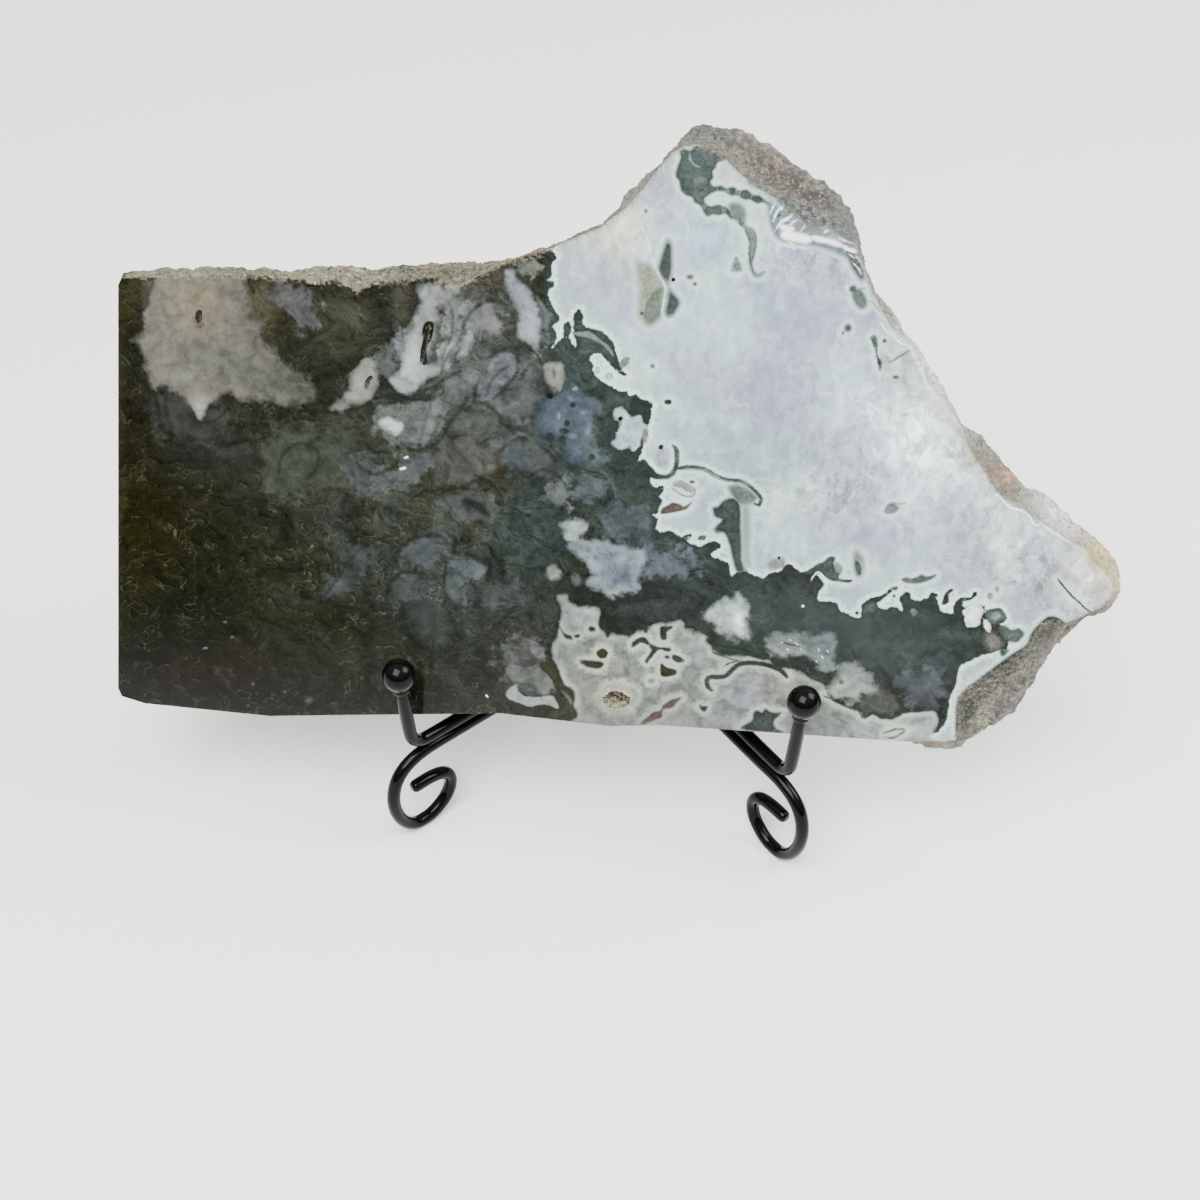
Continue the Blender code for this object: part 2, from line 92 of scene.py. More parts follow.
# How near two corners are one, in metres. How near the level of a face is on it, how near the rim
# no point of a face's fill lies, and how near two such points are one, in mm.
MERGE = 0.000002
FLAT = 0.02
RIM_GAP = 0.3
FINEST = 0.16

# How far apart the rows of a face's even points lie, and how near one of them has to be to a
# marking's point to give way to it, as shares of their step. The back's step against the front's,
# and a quick build's against a full one's. A marking with fewer corners than this has a point in its
# middle too. Sides that meet at less than this angle look smooth.
ROW_SHARE = 0.866
GIVES_WAY = 0.6
BACK_STEP = 1.5
SMALL_MARKING = 60
SMOOTH_ANGLE = math.radians(42.0)

# The broken sides' grain: name, size and depth in mm, and Blender's kind of noise. It is full from
# this far off the sawn edges on and this far in from the two faces. Sawn sides have this share of it.
GRAIN = (("lumps", 3.2, 1.7, "SOFT_NOISE"), ("grain", 1.0, 0.9, "HARD_NOISE"))
FULL_GRAIN_OFF_SAWN = 4.0
FULL_GRAIN_OFF_FACE = 0.9
SAWN_GRAIN = 0.06

# The rind, in mm and in shares. A side this near a sawn edge is sawn. On the face the rind's share is
# RIND_AT_RIM at the rim and falls by a whole share in RIND_FADE. Nearer to a sawn edge than the first
# of OFF_SAWN the face has none, and farther than the second all of that. On the broken sides it grows
# from the first share of BROKEN_RIND at the rim to the second at RIND_DEPTH below it.
SAWN_SIDE = 1.5
RIND_AT_RIM = 0.56
RIND_FADE = 3.4
OFF_SAWN = (4.0, 10.0)
BROKEN_RIND = (0.62, 1.02)
RIND_DEPTH = 1.2
SAWN_RIND = 0.3
HOLLOW_RIM_RIND = 0.4

# How far from a marking's outline its depth is still measured, and how far beside the outline the
# face has more points, in picture points. The softness of an edge where no marking is near, in mm.
FAR = 26.0
BESIDE = 1.1
PLAIN_EDGE = 0.3

# How bright a white thing on the face is in this studio, against 1 for a white picture point. How
# much of their hue the darkest colours lose, and the least and the most light that stone gives back.
STUDIO_GAIN = 2.7
DARK_PULL = 0.22
DARKEST = 0.0015
BRIGHTEST = 0.9

# Colours of the stone in daylight.
JET = "#2A2C27"
MOSS = "#33352A"
OLIVE = "#45452F"
PINE = "#424E4A"
LEAF = "#53605A"
SAGE = "#64736D"
STEEL = "#6C7884"
STEEL_PALE = "#8F9A9C"
MIST = "#B9C3C8"
WHITE = "#D9DEDC"
TAUPE = "#7F776B"
RUST = "#6A5651"

# The slab's straight sawn edges, at its left and below, as places in the picture.
SAWN_EDGE = [
    118,270, 118,285, 117,480, 118,688, 122,696, 135,700, 160,704, 200,710, 230,713, 270,716, 350,714,
    446,712, 530,717, 570,722, 640,726, 680,727, 750,732, 830,737, 900,741,
]

# The edge of the dark moss, down from the top of the face, along the band to the right, and back
# round the left, well outside the stone.
MOSS_EDGE = [
    556,200, 556,244, 549,248, 553,251, 557,258, 552,264, 552,276, 547,280, 554,281, 554,287, 548,291,
    551,302, 555,310, 560,319, 553,327, 557,333, 556,341, 552,348, 556,343, 561,338, 561,330, 563,323,
    563,338, 562,330, 564,324, 568,321, 571,325, 571,333, 569,337, 571,341, 575,347, 576,341, 573,335,
    573,330, 573,319, 575,312, 579,309, 583,313, 584,325, 592,328, 600,330, 607,335, 611,339, 615,347,
    618,358, 623,370, 628,376, 620,374, 612,367, 604,358, 600,354, 593,354, 590,360, 594,365, 593,370,
    597,377, 602,381, 606,383, 613,387, 620,391, 627,391, 629,395, 636,394, 640,398, 646,400, 652,402,
    653,407, 651,410, 652,415, 650,421, 648,428, 648,434, 645,440, 643,447, 641,455, 638,461, 643,460,
    650,466, 657,473, 662,478, 657,480, 651,478, 651,484, 656,487, 663,485, 664,490, 660,497, 663,501,
    660,507, 659,513, 653,515, 658,518, 657,525, 656,529, 661,532, 665,531, 670,530, 678,535, 682,537,
    687,534, 692,534, 690,538, 687,540, 690,543, 697,545, 701,546, 708,542, 714,541, 720,543, 721,548,
    713,552, 712,556, 717,558, 722,560, 728,563, 730,570, 732,576, 737,572, 747,571, 750,573, 757,576,
    763,578, 770,573, 780,571, 785,565, 790,564, 795,567, 802,572, 812,571, 825,584, 822,588, 818,595,
    819,601, 827,601, 837,603, 840,610, 847,613, 855,617, 860,617, 861,610, 861,605, 867,600, 873,597,
    882,595, 887,591, 893,587, 898,587, 897,590, 890,593, 885,598, 878,603, 879,607, 887,609, 890,607,
    898,607, 902,612, 902,606, 899,600, 900,597, 904,592, 910,592, 912,599, 920,600, 928,597, 931,592,
    938,595, 937,598, 939,604, 941,611, 946,612, 953,613, 953,607, 958,599, 965,597, 971,597, 973,592,
    977,592, 977,595, 971,600, 963,602, 964,607, 968,606, 976,604, 985,606, 985,612, 988,610, 996,608,
    1002,610, 1006,616, 1005,622, 1000,624, 1005,627, 1013,631, 1018,628, 1021,635, 1017,643, 1010,640,
    1007,650, 1000,650, 990,654, 983,655, 973,660, 962,665, 958,673, 957,683, 953,692, 950,698, 949,707,
    947,720, 938,732, 928,737, 915,760, 500,760, 90,740, 90,230, 300,230,
]

# Dim clear pools in the moss, seen through its threads: colour, softness of the edge in mm, outline.
POOLS = [
    ("#6C6D6E", 1.6, [278,278, 300,285, 310,298, 318,307, 317,322, 302,327, 292,315, 277,308, 273,295]),
    ("#8A9695", 1.0, [283,464, 287,453, 300,449, 311,451, 314,460, 309,472, 298,478, 286,477, 281,470]),
    ("#545A50", 1.9, [262,440, 290,428, 330,436, 352,450, 345,476, 318,492, 285,498, 262,480]),
    ("#6D7373", 1.2, [360,458, 372,466, 392,468, 400,462, 412,455, 422,452, 436,458, 430,470, 420,480,
        405,485, 395,490, 380,494, 360,496, 350,480, 352,464]),
    ("#797F7C", 1.4, [372,410, 392,404, 415,402, 436,400, 444,410, 436,430, 420,445, 398,446, 382,436,
        372,424]),
    ("#63665F", 1.8, [436,440, 460,436, 482,442, 494,456, 486,474, 470,488, 448,486, 436,468]),
    ("#5F6362", 1.1, [441,500, 455,493, 478,494, 494,504, 499,518, 485,524, 462,518, 446,512]),
    ("#61696B", 0.9, [400,552, 408,545, 420,541, 440,541, 442,552, 432,562, 418,566, 404,562]),
    ("#6A7274", 0.9, [450,552, 462,556, 478,562, 485,565, 484,575, 475,580, 466,585, 462,592, 470,602,
        465,606, 458,603, 450,596, 446,588, 448,575, 452,565]),
    ("#59605E", 1.1, [480,597, 486,588, 500,584, 518,583, 521,590, 520,600, 505,606, 488,607]),
    ("#575B5B", 1.2, [388,600, 392,585, 402,578, 420,580, 430,590, 420,600, 404,606]),
    ("#464C48", 1.4, [404,606, 420,600, 436,604, 444,618, 450,634, 442,646, 424,642, 410,628]),
    ("#525959", 1.5, [330,585, 343,572, 352,556, 366,546, 372,560, 360,575, 350,590, 334,598, 322,596]),
    ("#5D6563", 1.2, [345,455, 368,452, 372,470, 366,488, 350,484, 340,470]),
    ("#989E9B", 1.1, [444,292, 458,288, 464,305, 462,330, 456,352, 446,372, 440,360, 444,335, 446,310]),
    ("#8F9190", 1.2, [466,308, 480,304, 497,309, 502,322, 490,334, 474,334, 463,322]),
    ("#7F8387", 0.8, [477,387, 485,375, 487,365, 497,353, 508,353, 515,362, 513,373, 503,383, 488,402,
        478,400]),
    ("#717777", 1.5, [440,385, 452,366, 470,362, 480,372, 474,392, 460,404, 446,400]),
    ("#696F6E", 1.5, [500,395, 516,380, 530,372, 540,384, 536,408, 520,424, 506,416]),
    ("#61696C", 1.6, [496,440, 510,432, 528,440, 540,455, 530,470, 512,468, 500,458]),
    ("#636C6E", 1.2, [572,474, 590,476, 606,480, 610,492, 600,503, 584,500, 574,488]),
    ("#747D86", 1.6, [640,552, 660,548, 690,556, 696,568, 676,578, 652,576, 640,566]),
    ("#60676D", 2.2, [600,505, 625,500, 650,505, 652,525, 634,540, 606,536]),
    ("#62686E", 1.8, [900,676, 915,668, 932,667, 945,676, 948,690, 942,702, 925,708, 908,704, 900,692]),
    ("#5F615C", 1.6, [857,700, 866,690, 884,688, 897,696, 896,712, 880,717, 862,714]),
    ("#676A68", 1.4, [500,650, 515,640, 536,640, 547,652, 540,664, 548,678, 557,690, 540,698, 516,690,
        500,676]),
    ("#4B4D4B", 1.9, [150,398, 180,392, 215,400, 228,420, 215,440, 180,440, 156,424]),
    ("#5D615D", 1.9, [455,408, 480,404, 496,420, 484,436, 462,432]),
    ("#6C726F", 1.4, [380,350, 396,345, 402,362, 394,378, 380,374]),
    ("#8C8E87", 1.1, [519,262, 530,260, 538,264, 535,272, 524,274, 518,268]),
    ("#8B8C90", 1.1, [398,334, 408,334, 412,345, 408,356, 398,356, 395,345]),
    ("#727979", 1.2, [532,300, 546,306, 550,322, 546,344, 538,356, 530,340, 534,320]),
    ("#5C6261", 1.6, [520,440, 536,430, 552,446, 566,462, 556,480, 540,476, 528,462]),
    ("#575F5D", 1.8, [606,400, 618,392, 630,396, 628,410, 612,410, 606,420, 602,410]),
    ("#4F5654", 1.6, [620,490, 640,486, 652,496, 640,506, 624,504]),
    ("#7D8383", 1.4, [548,484, 560,478, 572,490, 566,506, 552,504]),
    ("#8B8D8B", 0.7, [529,641, 536,643, 543,648, 547,653, 541,659, 534,656, 530,650]),
    ("#808480", 1.2, [505,672, 512,665, 526,668, 541,664, 548,672, 557,688, 548,695, 530,696, 517,685]),
]

# Clear and pale quartz over the moss: colour, softness of the edge in mm, outline.
CLEAR = [
    ("#8E9A96", 0.25, [573,333, 583,332, 590,332, 598,337, 604,342, 610,348, 614,357, 605,347, 598,342,
        588,337, 577,336]),
    ("#8E9A96", 0.25, [620,361, 626,357, 630,358, 628,365, 624,369, 621,367]),
    ("#586670", 1.3, [565,383, 578,385, 581,393, 590,400, 600,403, 598,413, 594,427, 595,440, 600,452,
        607,460, 602,462, 593,467, 585,463, 573,462, 565,453, 560,443, 550,440, 540,437, 537,420, 540,403,
        550,400, 560,393]),
    ("#B2BFC6", 0.3, [613,411, 620,408, 627,413, 630,418, 636,417, 640,416, 643,423, 648,427, 647,433,
        641,438, 640,445, 633,451, 632,446, 627,446, 622,449, 613,444, 617,438, 616,433, 620,428, 622,422,
        617,420, 613,417]),
    ("#B2B7C0", 0.7, [653,447, 664,446, 669,456, 666,468, 658,464]),
    ("#C3CCC9", 0.6, [880,335, 898,337, 912,352, 919,372, 916,392, 900,391, 885,374, 878,352]),
    ("#979C93", 0.6, [546,364, 556,362, 563,365, 564,375, 560,391, 550,386, 545,375]),
    ("#A9B1B0", 0.8, [562,522, 570,520, 583,521, 586,527, 583,533, 580,535, 579,542, 577,551, 570,543,
        565,537, 566,530, 560,525]),
    ("#87939C", 1.0, [568,543, 575,552, 578,558, 585,560, 590,567, 595,572, 594,577, 587,583, 595,588,
        605,593, 612,597, 618,596, 623,592, 630,593, 637,592, 638,585, 638,577, 643,568, 647,558, 640,550,
        630,547, 620,548, 613,545, 607,540, 595,541, 580,540]),
    ("#999F97", 0.8, [547,573, 550,568, 556,567, 561,571, 558,577, 551,579]),
    ("#949994", 0.5, [558,596, 567,595, 568,602, 580,607, 595,608, 600,615, 598,623, 603,632, 607,638,
        613,635, 627,636, 640,632, 647,633, 650,627, 660,623, 672,623, 680,621, 685,628, 693,633, 703,635,
        707,643, 713,653, 723,655, 740,657, 760,660, 780,668, 797,672, 812,680, 822,685, 828,695, 836,702,
        848,708, 858,711, 864,719, 873,715, 882,719, 893,720, 902,714, 920,712, 934,712, 938,722, 930,734,
        915,760, 578,760, 578,715, 575,707, 575,695, 572,689, 564,685, 561,678, 559,670, 556,662, 552,655,
        552,648, 558,636, 560,623, 562,615, 560,606]),
    ("#A2A7A4", 0.25, [506,694, 510,688, 517,684, 520,685, 518,690, 522,695, 530,697, 545,697, 553,696,
        556,701, 558,708, 550,706, 540,704, 530,707, 520,703, 510,699]),
    ("#B2BBB8", 1.4, [708,617, 712,610, 720,603, 730,600, 740,598, 747,607, 747,617, 745,628, 748,638,
        740,635, 728,633, 718,628, 712,622]),
    ("#7F8B8C", 1.0, [765,640, 772,634, 783,632, 800,633, 812,636, 825,632, 834,634, 836,642, 834,652,
        832,660, 830,668, 825,672, 818,668, 813,660, 805,656, 795,655, 780,655, 770,650]),
    ("#A0A7A3", 1.6, [840,672, 847,667, 860,668, 870,678, 872,690, 862,691, 857,697, 847,700, 835,697,
        832,687, 837,678]),
    ("#9AA29C", 0.6, [768,566, 776,558, 784,557, 786,563, 778,569]),
    ("#D2D8D6", 0.25, [962,612, 970,605, 980,605, 983,612, 980,618, 980,625, 968,627, 965,622, 965,616]),
    ("#8A978E", 0.3, [990,613, 998,610, 1002,614, 998,620, 992,620]),
    ("#DDE2E0", 0.25, [985,620, 990,623, 990,633, 986,630, 984,624]),
    ("#85837A", 0.8, [160,276, 200,275, 242,275, 244,286, 247,300, 251,314, 257,328, 264,342, 272,354,
        284,366, 298,378, 308,388, 312,398, 300,402, 282,401, 262,400, 244,398, 232,392, 222,394, 214,400,
        206,408, 201,417, 197,417, 192,406, 185,398, 176,392, 168,388, 160,386, 153,389, 149,376, 146,362,
        142,350, 136,342, 131,340, 139,337, 146,333, 145,322, 144,314, 150,305, 152,294]),
    ("#9A9C96", 0.8, [370,358, 356,368, 352,377, 350,384, 348,393, 343,402, 335,405, 333,408, 343,408,
        353,403, 363,402, 370,395, 376,388, 378,374]),
    ("#9CA0A0", 0.8, [420,287, 427,285, 438,285, 445,290, 452,292, 450,298, 442,305, 438,313, 439,318,
        434,328, 432,342, 428,352, 428,362, 440,362, 440,372, 428,377, 420,383, 412,392, 402,392, 390,382,
        395,377, 401,368, 403,355, 405,343, 406,333, 413,328, 417,317, 420,302]),
    ("#9BA1A4", 0.9, [505,272, 512,270, 520,283, 530,293, 537,308, 540,322, 540,338, 537,348, 525,342,
        517,335, 517,328, 520,322, 517,308, 512,298, 507,285]),
    ("#A0A6A6", 0.6, [470,332, 472,345, 465,355, 457,357, 461,348, 463,338]),
    ("#B9BEBB", 0.8, [380,422, 388,419, 400,422, 403,427, 397,434, 388,432, 382,425]),
    ("#7F8886", 0.7, [433,402, 440,402, 439,415, 432,432, 423,447, 422,438, 428,422]),
]

# Moss and dark grains over the clear quartz, and some painted shade: colour, softness in mm, outline.
DARK = [
    ("#46524B", 0.5, [956,737, 955,720, 956,703, 962,692, 974,682, 988,671, 1001,661, 1014,652, 1026,644,
        1030,634, 1037,625, 1048,616, 1060,618, 1068,628, 1052,636, 1044,650, 1034,662, 1020,672,
        1006,684, 990,694, 978,706, 970,722, 966,741]),
    ("#4B5752", 0.6, [712,507, 717,506, 723,500, 733,497, 740,502, 742,513, 742,527, 743,540, 743,560,
        747,571, 737,573, 732,560, 730,550, 727,540, 723,533, 717,534, 713,530, 717,524, 721,520,
        714,517]),
    ("#737E78", 0.9, [728,486, 740,484, 750,489, 758,497, 754,503, 746,507, 737,503, 730,494]),
    ("#727D7B", 1.2, [743,506, 749,508, 750,530, 749,552, 750,566, 745,563, 743,545, 742,525]),
    ("#6B605A", 0.3, [660,514, 662,508, 668,505, 673,502, 680,504, 685,506, 692,501, 691,505, 685,510,
        677,512, 667,514]),
    (SAGE, 0.25, [697,539, 699,536, 706,535, 707,537, 705,540, 698,540]),
    ("#566460", 0.9, [668,238, 672,243, 673,253, 673,267, 672,275, 668,286, 663,281, 658,273, 657,268,
        659,260, 662,250, 665,242]),
    ("#55635E", 0.9, [669,287, 674,292, 679,298, 681,303, 678,310, 673,317, 667,318, 664,312, 666,302,
        667,293]),
    ("#A2A79A", 1.5, [636,258, 643,262, 650,263, 655,270, 660,277, 666,287, 664,302, 662,317, 657,323,
        650,327, 642,322, 637,315, 638,303, 638,287, 636,270]),
    ("#7C8679", 1.3, [648,300, 656,290, 664,288, 664,302, 662,317, 657,323, 650,327, 643,322, 645,310]),
    ("#5C6964", 0.45, [679,151, 684,148, 690,150, 694,146, 702,144, 712,146, 720,152, 727,158, 723,161,
        718,163, 716,168, 713,172, 714,178, 711,182, 714,186, 721,185, 727,188, 733,186, 739,190, 747,189,
        753,194, 760,195, 766,200, 773,203, 778,208, 770,208, 764,203, 757,204, 750,200, 744,200, 737,196,
        730,196, 724,192, 716,192, 710,195, 705,199, 706,203, 711,206, 717,204, 724,206, 729,208, 735,213,
        741,218, 746,224, 741,227, 736,221, 730,219, 725,214, 719,216, 713,215, 707,217, 703,212, 700,206,
        694,203, 692,198, 686,196, 680,190, 679,182, 675,176, 677,166, 680,158]),
    # Blue-grey under the painted sheen at the top right: painted shade between its lit crystal faces.
    ("#8D9BA4", 0.9, [768,204, 780,206, 792,213, 803,222, 824,228, 838,234, 852,243, 862,254, 858,261,
        846,258, 830,251, 812,246, 795,244, 778,239, 770,226]),
    ("#5B6966", 1.6, [688,158, 696,153, 706,155, 709,163, 702,170, 692,169]),
    ("#6E7B77", 1.2, [694,180, 703,177, 708,182, 702,189, 694,188]),
    ("#84918D", 0.9, [728,204, 736,202, 744,206, 747,214, 746,222, 740,224, 733,219, 729,212]),
    ("#8B9794", 0.5, [742,224, 748,226, 753,228, 757,236, 757,246, 755,256, 753,263, 755,271, 760,273,
        764,270, 766,272, 761,277, 754,277, 750,270, 748,260, 749,248, 748,240, 745,232]),
    ("#808C89", 0.6, [731,271, 733,262, 736,256, 739,260, 742,267, 742,271, 736,272]),
    ("#414745", 0.7, [608,615, 613,610, 620,603, 630,601, 640,600, 647,597, 655,597, 657,588, 660,587,
        670,588, 683,588, 695,590, 700,595, 707,600, 700,607, 690,612, 680,615, 678,620, 667,622, 657,623,
        647,623, 640,618, 630,620, 620,617]),
    (OLIVE, 0.35, [560,627, 565,633, 572,636, 572,640, 565,638, 562,633]),
    (OLIVE, 0.35, [579,660, 588,660, 603,662, 603,667, 597,669, 587,667, 580,663]),
    (OLIVE, 0.3, [596,652, 603,648, 608,652, 606,658, 599,658]),
    (PINE, 0.3, [631,647, 632,642, 640,637, 647,638, 650,643, 660,647, 670,647, 672,650, 668,652, 660,650,
        655,654, 650,660, 647,664, 644,662, 647,657, 651,650, 647,645, 640,643, 635,647]),
    (PINE, 0.3, [660,627, 667,626, 673,626, 672,629, 667,632, 667,639, 661,640]),
    (PINE, 0.3, [672,655, 678,655, 685,661, 677,663, 672,659]),
    (OLIVE, 0.3, [661,663, 667,667, 677,670, 677,673, 673,676, 661,676]),
    (PINE, 0.3, [699,704, 703,706, 708,706, 705,712, 700,709]),
    (RUST, 0.35, [640,723, 647,717, 653,712, 660,710, 663,705, 670,700, 677,698, 682,697, 677,703,
        672,708, 663,710, 662,717, 655,720, 648,723, 643,725]),
    (PINE, 0.4, [740,728, 747,723, 752,720, 753,713, 757,710, 762,712, 765,708, 772,712, 782,712, 778,717,
        774,722, 776,728, 784,733, 760,732, 744,730]),
    (PINE, 0.25, [942,605, 943,598, 946,592, 952,588, 954,590, 949,595, 949,603]),
    ("#566460", 0.3, [804,573, 811,568, 817,564, 824,561, 828,557, 833,556, 836,558, 834,563, 838,567,
        842,571, 840,575, 839,579, 846,579, 853,580, 850,583, 841,582, 832,581, 826,578, 820,574,
        812,575]),
    ("#98A29F", 0.5, [834,562, 839,563, 843,568, 841,573, 836,572, 834,568]),
    ("#A3ACA9", 0.9, [853,552, 858,549, 863,556, 865,566, 863,576, 857,577, 853,568]),
    ("#56625D", 0.4, [854,561, 858,562, 861,568, 860,576, 856,576, 854,569]),
    ("#6F7B76", 0.35, [901,580, 905,577, 912,578, 918,576, 922,574, 926,576, 932,575, 937,574, 934,578,
        926,582, 916,584, 906,583]),
    (SAGE, 0.35, [864,608, 868,603, 873,601, 878,604, 876,609, 870,612, 864,613]),
    (STEEL_PALE, 0.4, [884,510, 887,505, 892,502, 898,506, 900,508, 895,513, 886,514]),
    (PINE, 0.35, [973,682, 980,681, 974,690, 977,697, 977,710, 968,713, 962,717, 962,728, 965,735,
        958,734, 957,720, 957,703, 963,693]),
    (PINE, 0.3, [1030,646, 1036,636, 1044,628, 1049,624, 1054,620, 1060,626, 1066,630, 1056,632, 1050,638,
        1043,645, 1034,652]),
    (SAGE, 0.5, [573,572, 580,575, 582,583, 576,586, 571,580]),
    ("#343934", 0.8, [463,499, 468,498, 480,503, 487,510, 490,516, 483,515, 475,508, 463,504]),
    # The slit: painted dark, as the shade in its opening.
    (JET, 0.3, [426,322, 433,322, 434,327, 432,338, 427,348, 427,364, 422,364, 423,355, 424,342,
        422,330]),
    (TAUPE, 0.4, [193,318, 197,316, 198,312, 202,312, 202,318, 204,323, 202,328, 198,327, 195,323]),
    ("#66747A", 0.8, [846,252, 852,250, 859,254, 863,264, 866,276, 862,282, 856,276, 850,266]),
    ("#75827E", 0.7, [851,292, 858,288, 864,292, 868,304, 862,310, 854,303]),
    ("#B4B5AC", 0.7, [599,696, 603,690, 607,685, 614,686, 620,683, 627,687, 635,689, 638,696, 634,702,
        630,709, 622,711, 614,712, 606,708, 600,703]),
    (SAGE, 0.3, [985,612, 990,609, 1000,608, 1005,613, 1007,620, 1000,622, 995,625, 988,622]),
    ("#8A978E", 0.4, [992,613, 999,612, 1001,617, 996,620, 991,618]),
    ("#85837E", 1.0, [985,634, 992,632, 999,636, 1004,643, 999,650, 990,651, 985,644]),
    ("#66706C", 0.5, [998,628, 1005,625, 1011,629, 1019,628, 1025,633, 1021,640, 1014,643, 1006,641,
        1001,636]),
    ("#5E6865", 0.4, [1001,648, 1006,650, 1010,649, 1007,654, 1003,657, 999,653]),
    ("#BDB4A2", 0.4, [1049,633, 1055,628, 1063,628, 1068,632, 1060,638, 1052,638]),
    (LEAF, 0.6, [517,684, 530,683, 537,688, 536,696, 525,694, 518,690]),
    (LEAF, 0.4, [870,337, 876,335, 878,345, 878,355, 882,362, 880,372, 877,362, 874,348]),
]

# Round grains, dots and small holes: colour, softness in mm, middle, half width, half height.
GRAINS = [
    (MIST, 0.2, 597.5, 370, 2.5, 4), (MIST, 0.2, 609, 376.5, 4.3, 4), (PINE, 0.2, 661, 447, 2.7, 2.7),
    (PINE, 0.25, 668, 402, 4, 3), (SAGE, 0.5, 652.5, 366, 2.5, 2.5), (SAGE, 0.3, 692, 482, 3, 2),
    (JET, 0.25, 673.3, 279.5, 2.6, 2.6), (PINE, 0.3, 641.5, 314, 2, 2), (SAGE, 0.6, 690, 277, 4, 3),
    (SAGE, 0.4, 695, 284, 2.2, 2.2), (SAGE, 0.5, 646, 211, 2, 2), (PINE, 0.3, 573, 405, 3, 3),
    (PINE, 0.3, 567, 423, 3, 3), (PINE, 0.3, 564, 431, 5, 3), (PINE, 0.3, 562.5, 440, 3.5, 5),
    (PINE, 0.3, 550, 437, 4.5, 4.5), (PINE, 0.3, 591.7, 457, 3.5, 3.5), (STEEL, 0.4, 578, 450, 6, 7),
    (PINE, 0.4, 667, 657, 3, 2), (STEEL_PALE, 0.4, 651.3, 681, 4, 2.8), (PINE, 0.3, 857, 613, 2, 2),
    (PINE, 0.3, 894, 596, 1.8, 1.8), (STEEL_PALE, 0.3, 914, 612, 3.5, 3.5), (SAGE, 0.5, 853, 289, 4.5, 4),
    (SAGE, 0.5, 848, 328, 4, 4.5), (LEAF, 0.4, 884.5, 341, 2.3, 2.3), (JET, 0.25, 620.5, 418.5, 2.7, 2.7),
    (PINE, 0.2, 616.7, 430.5, 1.6, 1.6), ("#9A948E", 0.5, 645, 436, 3, 8),
    (PINE, 0.3, 843, 333, 1.5, 1.5), (SAGE, 0.4, 896, 377, 3, 2), (JET, 0.25, 779, 558, 1.6, 1.6),
    (JET, 0.3, 550, 396, 3, 3), (TAUPE, 0.5, 554, 373, 1.6, 5), ("#8C8C80", 0.25, 205, 648, 2.5, 1.0),
    ("#8C8C80", 0.25, 232, 637, 1.6, 1.0), ("#77776A", 0.25, 225, 622, 2.5, 0.8),
    ("#77776A", 0.25, 175, 533, 0.8, 3), ("#8C8C80", 0.25, 312, 546, 1.2, 1.2),
    ("#7D7454", 0.3, 253, 684, 1.6, 1.2), ("#7D7454", 0.3, 285, 692, 1.5, 1.1),
    ("#787050", 0.3, 248, 706, 1.6, 1.1), ("#6E6C5E", 0.6, 309, 700, 3.4, 2.6),
    ("#8F9BA6", 0.5, 571, 398, 3, 2.4), ("#8795A0", 0.5, 584, 412, 4, 2),
    ("#93A0A8", 0.4, 559, 416, 2, 3), ("#8896A2", 0.5, 588, 432, 3, 4),
    ("#A6B1B6", 0.4, 575, 389, 2.4, 1.6), ("#7F8D99", 0.6, 572, 436, 5, 4),
    ("#D8DEDE", 0.2, 803, 606, 1.3, 1.3), ("#9AA5A2", 0.4, 990, 596, 3, 3.6),
    ("#A3AEAC", 0.4, 997, 589, 2.4, 3), ("#6E7A76", 0.5, 841, 682, 3, 2.6),
    ("#5A6763", 0.6, 778, 216, 3, 2), ("#6C7977", 0.5, 789, 212, 3, 2), (PINE, 0.5, 545, 540, 4, 2.5),
    (PINE, 0.3, 577, 636, 3, 2), (OLIVE, 0.4, 592, 629, 4, 3),
]

